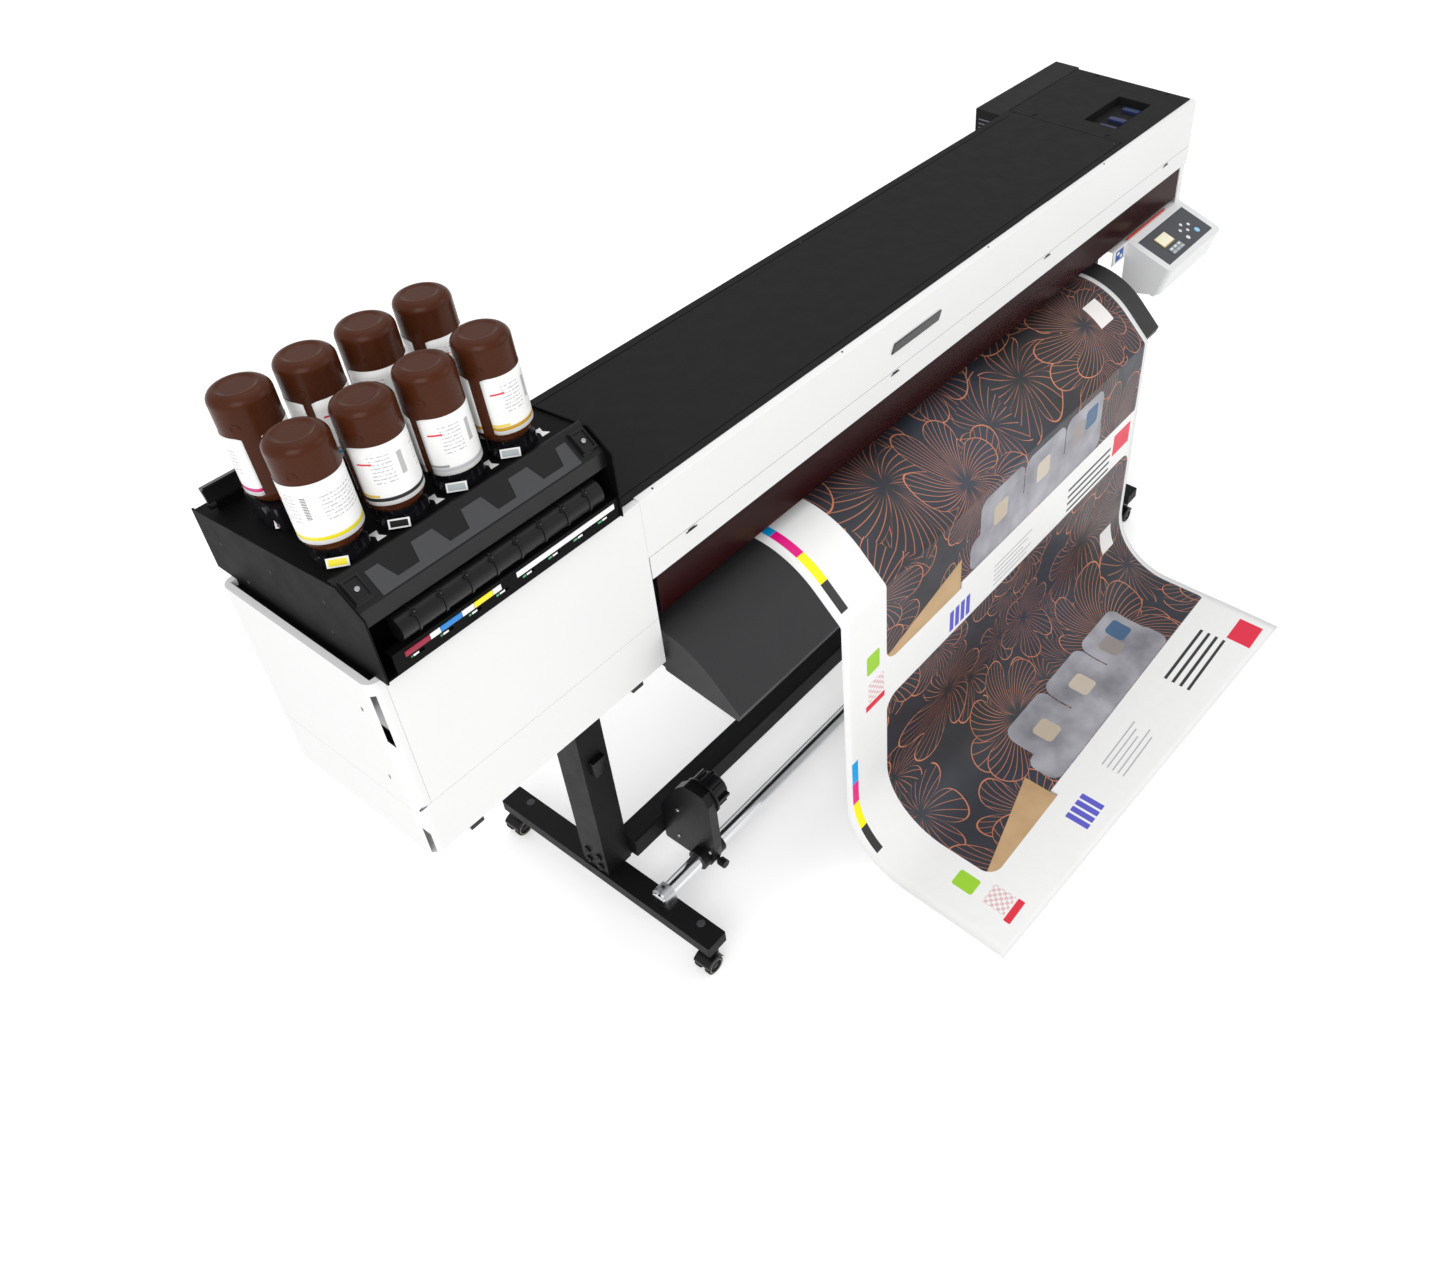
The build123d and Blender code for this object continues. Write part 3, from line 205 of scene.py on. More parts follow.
navy_part = surface("navy_part", (0.02, 0.03, 0.10), 0.4, specular=0.3, wear=0.1)


def bottle_material():
    """Thick dark-brown plastic with a soft depth of colour."""
    s = Shade("bottle_brown")
    cloud = s.noise(14.0, 4.0)
    s.set(Base_Color=s.mix(cloud, (0.050, 0.0125, 0.0045, 1), (0.068, 0.0185, 0.0070, 1)))
    s.set(Specular_IOR_Level=0.13)
    s.set(Roughness=s.ramp(s.noise(30.0), 0.3, 0.7, 0.22, 0.32))
    s.bump(s.noise(60.0, 2.0), 0.08, 0.001)
    return s.mat


def screen_material():
    """A lit cream display with faint rows."""
    s = Shade("display_cream")
    rows = s.node("ShaderNodeTexWave", Scale=90.0, Distortion=6.0, Detail=2.0)
    tint = s.mix(s.ramp(rows.outputs["Fac"], 0.75, 0.95), (0.80, 0.76, 0.58, 1), (0.55, 0.50, 0.38, 1))
    s.set(Base_Color=tint, Roughness=0.25, Emission_Color=tint, Emission_Strength=0.25)
    return s.mat


def window_material():
    """Dark red-brown see-through acrylic."""
    s = Shade("window_tint")
    clear = s.node("ShaderNodeBsdfTransparent")
    haze = s.noise(3.0)
    s.put(clear.inputs["Color"], s.mix(haze, (0.74, 0.13, 0.12, 1), (0.80, 0.16, 0.14, 1)))
    s.set(Base_Color=s.mix(haze, (0.030, 0.004, 0.005, 1), (0.045, 0.007, 0.008, 1)), Specular_IOR_Level=0.3)
    s.set(Roughness=s.ramp(s.noise(18.0), 0.3, 0.7, 0.16, 0.22))
    edge = s.node("ShaderNodeFresnel", IOR=1.3)
    mixed = s.node("ShaderNodeMixShader")
    s.put(mixed.inputs[0], s.math("MULTIPLY_ADD", edge.outputs[0], 0.8, 0.30))
    s.put(mixed.inputs[1], clear.outputs[0])
    s.put(mixed.inputs[2], s.bsdf.outputs[0])
    s.put(s.out.inputs["Surface"], mixed.outputs[0])
    return s.mat


def rectangle(s, u, v, u0, u1, v0, v1, corner=0.0, soft=0.0012):
    """1 inside a rounded rectangle of the sheet, 0 outside."""
    du = s.math("SUBTRACT", s.math("ABSOLUTE", s.math("SUBTRACT", u, (u0 + u1) / 2)), (u1 - u0) / 2 - corner)
    dv = s.math("SUBTRACT", s.math("ABSOLUTE", s.math("SUBTRACT", v, (v0 + v1) / 2)), (v1 - v0) / 2 - corner)
    du = s.math("MAXIMUM", du, 0.0)
    dv = s.math("MAXIMUM", dv, 0.0)
    far = s.math("SQRT", s.math("ADD", s.math("MULTIPLY", du, du), s.math("MULTIPLY", dv, dv)))
    return s.ramp(far, corner, corner + soft, 1.0, 0.0)


def flower_lines(s, uv):
    """Overlapping blooms: each petal has an outline and fine lines that run to its foot."""
    sway = s.node("ShaderNodeTexNoise", Scale=2.2, Detail=0.0, Vector=uv)
    shift = s.node("ShaderNodeVectorMath")
    shift.operation = "MULTIPLY_ADD"
    s.put(shift.inputs[0], sway.outputs["Color"])
    shift.inputs[1].default_value = (0.22, 0.22, 0.0)
    s.put(shift.inputs[2], uv)
    lines = 0.0
    width = 0.00095
    for scale, petals, veins, reach in ((4.4, 5.0, 2.5, 1.25), (3.0, 6.0, 3.5, 1.15), (2.1, 7.0, 4.5, 1.02)):
        cells = s.node("ShaderNodeTexVoronoi", Scale=scale, Randomness=0.8, Vector=shift.outputs[0])
        cells.voronoi_dimensions = "2D"
        away = s.node("ShaderNodeVectorMath")
        away.operation = "SUBTRACT"
        s.put(away.inputs[0], shift.outputs[0])
        s.put(away.inputs[1], cells.outputs["Position"])
        parts = s.node("ShaderNodeSeparateXYZ", Vector=away.outputs[0])
        chance = s.node("ShaderNodeSeparateColor", Color=cells.outputs["Color"])
        angle = s.math("ARCTAN2", parts.outputs[1], parts.outputs[0])
        far = s.math("DIVIDE", cells.outputs["Distance"], scale)
        turned = s.math("MULTIPLY_ADD", chance.outputs[0], 6.3, s.math("MULTIPLY_ADD", far, 2.0, angle))
        share = s.math("FRACT", s.math("ADD", s.math("MULTIPLY", turned, petals / (2 * math.pi)), 20.0))
        side = s.math("MULTIPLY_ADD", share, 2.0, -1.0)
        round_end = s.math("POWER", s.math("SUBTRACT", 1.0, s.math("MULTIPLY", side, side)), 0.32)
        size = s.math("MULTIPLY_ADD", chance.outputs[1], 0.30, 0.70)
        edge = s.math("MULTIPLY", s.math("MULTIPLY", round_end, size), 0.5 * reach / scale)
        inside = s.math("LESS_THAN", far, edge)
        outline = s.ramp(s.math("ABSOLUTE", s.math("SUBTRACT", far, edge)), width, width * 2.2, 1.0, 0.0)
        step = s.math("SUBTRACT", s.math("FRACT", s.math("MULTIPLY_ADD", side, veins, veins + 0.5)), 0.5)
        off = s.math("MULTIPLY", s.math("ABSOLUTE", step), far)
        off = s.math("MULTIPLY", off, math.pi / (petals * veins))
        vein = s.math("MULTIPLY", s.ramp(off, width * 0.4, width * 1.3, 0.75, 0.0), inside)
        vein = s.math("MULTIPLY", vein, s.ramp(s.math("DIVIDE", far, edge), 0.15, 0.45))
        lines = s.math("MULTIPLY", lines, s.math("SUBTRACT", 1.0, inside))
        lines = s.math("MAXIMUM", lines, s.math("MAXIMUM", vein, outline))
    return lines


def print_material(sheet_w, pitch, last):
    """Coated white media, printed up to the length last with copper lines on dark and colour bars."""
    s = Shade("printed_media")
    uv = s.coords("UV")
    parts = s.node("ShaderNodeSeparateXYZ", Vector=uv)
    u = parts.outputs[0]
    length = parts.outputs[1]
    v = s.math("MODULO", s.math("ADD", length, pitch - 0.10), pitch)
    printed = s.math("MULTIPLY", s.math("GREATER_THAN", length, 0.12), s.math("LESS_THAN", length, last))
    paper = s.mix(s.noise(40.0), (0.83, 0.83, 0.825, 1), (0.87, 0.87, 0.865, 1))
    ground = s.ramp(s.noise(2.4, 2.0, uv), 0.35, 0.7)
    ground = s.mix(ground, (0.020, 0.019, 0.022, 1), (0.035, 0.042, 0.062, 1))
    copper = s.mix(s.noise(5.0, 1.0, uv), (0.50, 0.13, 0.06, 1), (0.66, 0.29, 0.16, 1))
    picture = s.mix(flower_lines(s, uv), ground, copper)
    seat = None
    for u0, u1, v0, v1, r in ((0.50, 1.14, 0.140, 0.235, 0.03), (0.54, 0.735, 0.205, 0.335, 0.03),
                              (0.740, 0.935, 0.205, 0.335, 0.03), (0.940, 1.135, 0.205, 0.335, 0.03)):
        mask = rectangle(s, u, v, u0, u1, v0, v1, r)
        seat = mask if seat is None else s.math("MAXIMUM", seat, mask)
    cloth = s.mix(s.ramp(s.noise(9.0, 3.0, uv), 0.3, 0.7), (0.20, 0.20, 0.23, 1), (0.42, 0.42, 0.46, 1))
    skew = s.math("MULTIPLY_ADD", u, -0.26, v)
    floor_mask = s.math("MULTIPLY", s.ramp(skew, 0.094, 0.0955, 1.0, 0.0), s.ramp(u, 0.46, 0.462, 1.0, 0.0))
    wood = s.mix(s.noise(12.0, 5.0, uv), (0.42, 0.26, 0.12, 1), (0.62, 0.43, 0.24, 1))
    picture = s.mix(floor_mask, picture, wood)
    picture = s.mix(seat, picture, cloth)
    for u0, v0, tint in ((0.60, 0.220, (0.52, 0.44, 0.34, 1)), (0.80, 0.225, (0.58, 0.51, 0.42, 1)),
                         (0.98, 0.230, (0.30, 0.27, 0.26, 1)), (1.045, 0.245, (0.06, 0.13, 0.24, 1))):
        picture = s.mix(rectangle(s, u, v, u0, u0 + 0.062, v0, v0 + 0.062, 0.012), picture, tint)
    inside = rectangle(s, u, v, 0.160, sheet_w - 0.018, 0.116, pitch - 0.012, 0.040)
    inside = s.math("MULTIPLY", inside, printed)
    low = s.math("MULTIPLY", s.ramp(u, 0.460, 0.470), s.ramp(v, 0.136, 0.139, 1.0, 0.0))
    inside = s.math("MULTIPLY", inside, s.math("SUBTRACT", 1.0, low))
    color = s.mix(inside, paper, picture)
    for i, tint in enumerate(((0.0, 0.36, 0.78, 1), (0.78, 0.0, 0.22, 1),
                              (0.96, 0.88, 0.0, 1), (0.03, 0.03, 0.03, 1))):
        top = 0.684 - i * 0.076
        color = s.mix(rectangle(s, u, v, 0.022, 0.044, top - 0.075, top), color, tint)
    for i in range(5):
        dash = rectangle(s, u, v, 0.62, 0.80 - 0.02 * (i % 3), 0.070 - i * 0.016, 0.073 - i * 0.016)
        color = s.mix(dash, color, (0.45, 0.45, 0.46, 1))
    color = s.mix(rectangle(s, u, v, 0.086, 0.132, 0.133, 0.192, 0.006), color, (0.32, 0.62, 0.03, 1))
    checks = s.node("ShaderNodeTexChecker", Scale=110.0, Vector=uv)
    code = s.math("MULTIPLY", rectangle(s, u, v, 0.090, 0.148, 0.040, 0.102, 0.004), checks.outputs["Fac"])
    color = s.mix(s.math("MULTIPLY", code, 0.55), color, (0.62, 0.20, 0.22, 1))
    color = s.mix(rectangle(s, u, v, 0.080, 0.150, 0.016, 0.034, 0.002), color, (0.72, 0.02, 0.05, 1))
    for low_v in (0.032, 0.938):
        corner = rectangle(s, u, length, 1.240, 1.335, low_v, low_v + 0.072, 0.002)
        color = s.mix(corner, color, (0.74, 0.02, 0.06, 1))
    for i in range(4):
        bar = rectangle(s, u, v, 0.42 + i * 0.024, 0.436 + i * 0.024, 0.000, 0.066, 0.002)
        color = s.mix(bar, color, (0.10, 0.10, 0.55, 1))
    for i in range(4):
        bar = rectangle(s, u, v, 0.990, 1.225, 0.000 + i * 0.024, 0.008 + i * 0.024)
        color = s.mix(bar, color, (0.03, 0.03, 0.03, 1))
    color = s.mix(rectangle(s, u, v, 1.235, 1.300, 0.47, 0.545, 0.002), color, (0.80, 0.78, 0.76, 1))
    color = s.mix(s.math("LESS_THAN", length, last), paper, color)
    s.set(Base_Color=color, Specular_IOR_Level=0.35)
    s.set(Roughness=s.ramp(s.noise(16.0), 0.3, 0.7, 0.36, 0.48))
    s.bump(s.noise(700.0, 2.0), 0.08, 0.0003)
    return s.mat


def label_material(name, band, second):
    """White bottle label with rows of grey dashes and a coloured band near the lower edge."""
    s = Shade(name)
    uv = s.coords("UV")
    parts = s.node("ShaderNodeSeparateXYZ", Vector=uv)
    u = parts.outputs[0]
    v = parts.outputs[1]
    paper = s.mix(s.noise(40.0), (0.82, 0.82, 0.81, 1), (0.87, 0.87, 0.865, 1))
    rows = s.math("LESS_THAN", s.math("FRACT", s.math("MULTIPLY", v, 16.0)), 0.32)
    words = s.node("ShaderNodeTexNoise", Scale=1.0, Detail=2.0)
    stretch = s.node("ShaderNodeVectorMath")
    stretch.operation = "MULTIPLY"
    s.put(stretch.inputs[0], uv)
    stretch.inputs[1].default_value = (90.0, 16.0, 1.0)
    s.put(words.inputs["Vector"], stretch.outputs[0])
    ink = s.math("MULTIPLY", rows, s.math("GREATER_THAN", words.outputs["Fac"], 0.47))
    fields = s.math("MAXIMUM", rectangle(s, u, v, 0.10, 0.22, 0.34, 0.88),
                    rectangle(s, u, v, 0.36, 0.92, 0.34, 0.80))
    color = s.mix(s.math("MULTIPLY", s.math("MULTIPLY", ink, fields), 0.7), paper, (0.25, 0.25, 0.27, 1))
    codes = s.math("LESS_THAN", s.math("FRACT", s.math("MULTIPLY", v, 37.0)), 0.5)
    code = s.math("MULTIPLY", codes, rectangle(s, u, v, 0.255, 0.285, 0.42, 0.80))
    color = s.mix(code, color, (0.05, 0.05, 0.05, 1))
    color = s.mix(rectangle(s, u, v, 0.035, 0.115, 0.70, 0.73), color, (0.70, 0.03, 0.06, 1))
    color = s.mix(rectangle(s, u, v, 0.0, 1.0, 0.07, 0.13), color, rgba(band))
    color = s.mix(rectangle(s, u, v, 0.0, 0.10, 0.14, 0.185), color, rgba(second))
    s.set(Base_Color=color, Specular_IOR_Level=0.4, Roughness=s.ramp(s.noise(20.0), 0.3, 0.7, 0.3, 0.42))
    return s.mat


def white_with_painted_slot_shade():
    """White paint with three small slots on the left end face, drawn as dark patches of painted shade inside
    the openings.
    """
    s = Shade("white_paint_slot_shade")
    parts = s.node("ShaderNodeSeparateXYZ", Vector=s.coords())
    mask = None
    y = front_y + 0.0455
    # Masks of the three slots; the openings are not modelled and get a painted shade colour.
    for z in (1.192, 1.027, 0.872):
        slot = rectangle(s, parts.outputs[1], parts.outputs[2], y - 0.0025, y + 0.0025,
                         z - 0.0045, z + 0.0045, 0.001, 0.0003)
        mask = slot if mask is None else s.math("MAXIMUM", mask, slot)
    mask = s.math("MULTIPLY", mask, s.math("LESS_THAN", parts.outputs[0], left_x + 0.001))
    paint = s.mix(s.noise(6.0), (0.758, 0.758, 0.753, 1), (0.775, 0.775, 0.770, 1))
    # The dark slot colour (0.05) is painted shade that stands in for the shadow inside the openings.
    s.set(Base_Color=s.mix(mask, paint, (0.05, 0.05, 0.06, 1)), Specular_IOR_Level=0.30)
    s.set(Roughness=s.ramp(s.noise(23.0, 4.0), 0.3, 0.7, 0.395, 0.45))
    s.bump(s.noise(900.0, 2.0), 0.06, 0.0003)
    return s.mat


# ---------------------------------------------------------------- shapes

def shape_box(size, bevel=0.0005):
    """A bevelled block about the origin."""
    bm = bmesh.new()
    bmesh.ops.create_cube(bm, size=1.0)
    bmesh.ops.scale(bm, vec=size, verts=bm.verts)
    bevel = min(bevel, min(size) * 0.3)
    bmesh.ops.bevel(bm, geom=bm.edges[:], offset=bevel, segments=2, affect="EDGES", profile=0.6)
    return bm


def shape_lathe(profile, segments=40, sweep=2 * math.pi):
    """A (radius, height) outline turned about Z."""
    bm = bmesh.new()
    verts = [bm.verts.new((r, 0, z)) for r, z in profile]
    edges = [bm.edges.new(pair) for pair in zip(verts, verts[1:])]
    bmesh.ops.spin(bm, geom=verts + edges, axis=(0, 0, 1), cent=(0, 0, 0), steps=segments, angle=sweep)
    bmesh.ops.remove_doubles(bm, verts=bm.verts, dist=1e-6)
    bmesh.ops.recalc_face_normals(bm, faces=bm.faces)
    return bm


def shape_prism(outline, depth, bevel=0.0004):
    """A flat (X, Y) outline with a thickness along Z, from 0 to depth."""
    bm = bmesh.new()
    base = bm.faces.new([bm.verts.new((x, y, 0)) for x, y in outline])
    top = bmesh.ops.extrude_face_region(bm, geom=[base])
    moved = [item for item in top["geom"] if isinstance(item, bmesh.types.BMVert)]
    bmesh.ops.translate(bm, vec=(0, 0, depth), verts=moved)
    bmesh.ops.recalc_face_normals(bm, faces=bm.faces)
    bmesh.ops.bevel(bm, geom=bm.edges[:], offset=min(bevel, depth * 0.3), segments=1, affect="EDGES")
    return bm


def piece(name, parts, material, body="frame"):
    """One visible piece made of (shape, placement) pairs."""
    whole = bmesh.new()
    scratch = bpy.data.meshes.new("scratch")
    for shape, place in parts:
        if isinstance(place, Vector):
            place = Matrix.Translation(place)
        shape.transform(place)
        shape.to_mesh(scratch)
        shape.free()
        whole.from_mesh(scratch)
    bpy.data.meshes.remove(scratch)
    mesh = bpy.data.meshes.new(name)
    whole.to_mesh(mesh)
    whole.free()
    mesh.materials.append(material)
    obj = bpy.data.objects.new(name, mesh)
    bpy.context.scene.collection.objects.link(obj)
    for face in mesh.polygons:
        face.use_smooth = True
    obj.modifiers.new("edges", "EDGE_SPLIT").split_angle = math.radians(38)
    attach(obj, body)
    return obj


def grid_faces(bm, layer, rows):
    """Faces between rows of (vertex, UV) pairs."""
    for below, above in zip(rows, rows[1:]):
        for i in range(len(below) - 1):
            corners = (below[i], below[i + 1], above[i + 1], above[i])
            face = bm.faces.new([vert for vert, _ in corners])
            for loop, (_, uv) in zip(face.loops, corners):
                loop[layer].uv = uv


def block(lo, hi, bevel=0.0005):
    """A (shape, placement) pair for a block between two points of the row frame."""
    size = [abs(b - a) for a, b in zip(lo, hi)]
    return shape_box(size, bevel), (Vector(lo) + Vector(hi)) / 2


def facing(point, normal, spin=0.0):
    """A placement whose Z runs along normal."""
    turned = Vector(normal).normalized().to_track_quat("Z", "Y").to_matrix().to_4x4()
    return Matrix.Translation(point) @ turned @ Matrix.Rotation(spin, 4, "Z")


def screw(radius=0.003, height=0.0012):
    """A low pan head with a socket."""
    r = radius
    h = height
    return shape_lathe([(0, h * 0.4), (r * 0.42, h * 0.4), (r * 0.5, h), (r * 0.8, h),
                        (r, h * 0.4), (r, 0)], 20)


# ---------------------------------------------------------------- finishes of the CAD nodes

finishes = {
    white_with_painted_slot_shade(): ("left_side_cover",),
    white: ("left_front_panel", "left_skirt", "right_side_cover", "front_cover",
            "rear_cover", "door_panel"),
    black: ("leg_left", "leg_right", "cross_beam", "stand_bolts", "roll_holders", "electrics_box",
            "chassis_beam"),
    tray_black: ("ink_tray",),
    lid_black: ("top_lid", "right_top_plate"),
    apron_black: ("front_apron",),
    casting: ("take_up_bracket_left", "take_up_bracket_right"),
    plastic: ("take_up_hub_left", "take_up_hub_right", "tray_ledge", "tube_cover", "bottle_flap",
              "print_carriage"),
    gloss_black: ("bottle_collars",),
    chrome: ("take_up_rail",),
    zinc: ("take_up_rail_clamps",),
    steel: ("grit_roller", "pinch_bar"),
    rail_metal: ("carriage_beam",),
    dark_metal: ("platen",),
    face_grey: ("panel_face",),
    white_plastic: ("panel_housing",),
    key_white: ("key_up", "key_down", "key_left", "key_right", "key_end"),
    key_blue: ("key_enter",),
    roll_white: ("media_roll",),
    window_material(): ("door_window",),
    bottle_material(): tuple(f"ink_bottle_{i + 1}" for i in range(8)),
}


def finish_nodes():
    """Give every CAD node its finish."""
    chosen = {node: mat for mat, names in finishes.items() for node in names}
    for name, obj in nodes.items():
        if name.startswith("caster_fork"):
            chosen[name] = plastic
        if name.startswith("caster_wheels"):
            chosen[name] = rubber
        mat = chosen.get(name, black)
        if not obj.data.materials:
            obj.data.materials.append(mat)
        for i in range(len(obj.data.materials)):
            obj.data.materials[i] = mat


# ---------------------------------------------------------------- printed media

def media_path():
    """(Y, Z) points of the web from its floor end to the rear roll, in the row frame."""
    lo, hi = box["media_sheet"]
    top = hi.z
    bend = 0.225
    start = box["platen"][0].y - 0.003
    floor_r = 0.185
    hang = lo.y + floor_run + floor_r
    nose_r = 0.014
    rear_r = 0.072
    points = [(lo.y + (hang - floor_r - lo.y) * i / 18, lo.z) for i in range(19)]
    for i in range(1, 15):
        a = math.pi / 2 * i / 14
        points.append((hang - floor_r + floor_r * math.sin(a), lo.z + floor_r * (1 - math.cos(a))))
    quarter = math.pi / 4
    slope_y = start - bend * math.sin(quarter)
    slope_z = top - bend * (1 - math.cos(quarter))
    nose_y = hang + nose_r
    nose_z = slope_z - (slope_y - (nose_y - nose_r * math.cos(quarter))) - nose_r * math.sin(quarter)
    for i in range(1, 26):
        points.append((hang, lo.z + floor_r + (nose_z - lo.z - floor_r) * i / 25))
    for i in range(1, 7):
        a = quarter * i / 6
        points.append((nose_y - nose_r * math.cos(a), nose_z + nose_r * math.sin(a)))
    last = points[-1]
    for i in range(1, 7):
        points.append((last[0] + (slope_y - last[0]) * i / 6, last[1] + (slope_z - last[1]) * i / 6))
    for i in range(1, 13):
        a = quarter * (1 - i / 12)
        points.append((start - bend * math.sin(a), top - bend * (1 - math.cos(a))))
    guide_y = hi.y - rear_r
    for i in range(1, 11):
        points.append((start + (guide_y - start) * i / 10, top))
    for i in range(1, 11):
        a = math.pi / 2 * i / 10
        points.append((guide_y + rear_r * math.sin(a), top - rear_r * (1 - math.cos(a))))
    points.append((hi.y, box["media_roll"][1].z - 0.065))
    return points


def printed_web():
    """The printed web with a slightly skewed free end and a shallow wave on the floor."""
    lo, hi = box["media_sheet"]
    sheet_w = hi.x - lo.x
    path = media_path()
    lengths = [0.0]
    for a, b in zip(path, path[1:]):
        lengths.append(lengths[-1] + math.dist(a, b))
    columns = 48
    corner_short = 0.080
    corner_drift = 0.020
    wave_tall = 0.0035
    bend_end = floor_run + floor_bend
    bm = bmesh.new()
    layer = bm.loops.layers.uv.new("print")
    grid = []
    for (y, z), s in zip(path, lengths):
        row = []
        for i in range(columns + 1):
            u = i / columns
            free = max(0.0, 1 - s / bend_end)
            short = corner_short * (1 - u) * max(0.0, 1 - s / floor_run)
            drift = -corner_drift * (1 - u) * free
            wave = wave_tall * free * (0.5 + 0.5 * math.sin(u * 9.0 + s * 4.0)) * (1 - math.exp(-s * 14))
            vert = bm.verts.new((lo.x + u * sheet_w + drift, y + short, z + wave))
            row.append((vert, (u * sheet_w, s + short)))
        grid.append(row)
    grid_faces(bm, layer, grid)
    bmesh.ops.recalc_face_normals(bm, faces=bm.faces)
    head_y = (box["print_carriage"][0].y + box["print_carriage"][1].y) / 2
    last = max(s for (y, z), s in zip(path, lengths) if y < head_y)
    pitch = 0.80
    web = piece("printed_web", [(bm, Matrix())], print_material(sheet_w, pitch, last))
    web.data.materials.append(surface("media_back", (0.80, 0.80, 0.79), 0.55, specular=0.3, wear=0.03))
    web.modifiers.remove(web.modifiers["edges"])
    solid = web.modifiers.new("thickness", "SOLIDIFY")
    solid.thickness = 0.0004
    solid.offset = 0.0
    solid.material_offset = 1
    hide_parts("media_sheet")
    return web


# ---------------------------------------------------------------- ink unit

def bottle_axis(i):
    """Mid-point of bottle i's straight body and its direction."""
    lo, hi = box[f"ink_bottle_{i}"]
    axis = Vector(joints[f"bottle_{i}_lift"]["axis"])
    radius = (hi.x - lo.x) / 2
    middle = Vector(((lo.x + hi.x) / 2, (lo.y + hi.y) / 2, hi.z - 0.0935))
    return middle, axis, radius


def label_shape(radius, height, sweep, steps=44):
    """A wrapped label with its UVs, about the origin."""
    bm = bmesh.new()
    layer = bm.loops.layers.uv.new("label")
    rows = []
    corner = 0.05
    for j in range(7):
        v = j / 6
        row = []
        for i in range(steps + 1):
            u = i / steps
            a = u * sweep
            edge = max(0.0, corner - min(u, 1 - u)) / corner
            z = (v - 0.5) * height * (1 - 0.06 * edge * edge)
            row.append((bm.verts.new((radius * math.cos(a), radius * math.sin(a), z)), (u, v)))
        rows.append(row)
    grid_faces(bm, layer, rows)
    return bm


def bottle_dress():
    """Each bottle's label, the embossed bar on its base and the ring mark on its side."""
    gold = (0.62, 0.36, 0.03)
    bands = [
        ((0.86, 0.74, 0.02), (0.86, 0.74, 0.02)),
        ((0.03, 0.03, 0.03), (0.70, 0.50, 0.10)),
        ((0.55, 0.55, 0.57), (0.30, 0.30, 0.32)),
        (gold, (0.80, 0.60, 0.10)),
        ((0.70, 0.03, 0.22), (0.30, 0.30, 0.32)),
        ((0.05, 0.40, 0.70), (0.30, 0.30, 0.32)),
        ((0.70, 0.70, 0.72), (0.70, 0.10, 0.10)),
        ((0.86, 0.86, 0.84), (0.30, 0.30, 0.32)),
    ]
    starts = (136, 184, 198, 214, 253, 229, 174, 222)
    sweeps = (305, 336, 344, 336, 327, 345, 332, 332)
    drops = (0.022, 0.022, 0.034, 0.022, 0.024, 0.022, 0.024, 0.024)
    brown = nodes["ink_bottle_1"].data.materials[0]
    for i, (band, second) in enumerate(bands):
        middle, axis, radius = bottle_axis(i + 1)
        body = f"bottle_{i + 1}"
        stand = facing(middle, axis, math.pi)
        mat = label_material(f"label_{i + 1}", band, second)
        shape = label_shape(radius + 0.0007, 0.104, math.radians(sweeps[i]))
        place = Matrix.Translation(middle - axis * drops[i])
        place = place @ axis.to_track_quat("Z", "X").to_matrix().to_4x4()
        across = (place.to_3x3() @ Vector((1, 0, 0)))
        heading = math.atan2(across.y, across.x)
        place = place @ Matrix.Rotation(math.radians(starts[i]) - heading, 4, "Z")
        label = piece(f"bottle_label_{i + 1}", [(shape, place)], mat, body)
        label.modifiers.remove(label.modifiers["edges"])
        label.modifiers.new("paper", "SOLIDIFY").thickness = 0.0002
        parts = [(shape_box((0.044, 0.008, 0.0012), 0.0005), stand @ Matrix.Translation((0, 0, 0.0890)))]
        mark = shape_lathe([(0.0075, 0), (0.0075, 0.0012), (0.0060, 0.0012), (0.0060, 0)], 28)
        side = Vector((-0.80, -0.60, 0)).normalized()
        parts.append((mark, facing(middle + axis * 0.046 + side * (radius - 0.0008), side)))
        parts.append((shape_box((0.009, 0.0016, 0.0012), 0.0004),
                      facing(middle + axis * 0.046 + side * (radius - 0.0003), side)))
        piece(f"bottle_marks_{i + 1}", parts, brown, body)


def deck_height(y):
    """Height of the sloped tray deck over the floor at a design Y."""
    pivot = joints["flap_fold"]["pos_m"]
    return pivot[2] - 0.012 + deck_slope * (y - (pivot[1] - front_y))


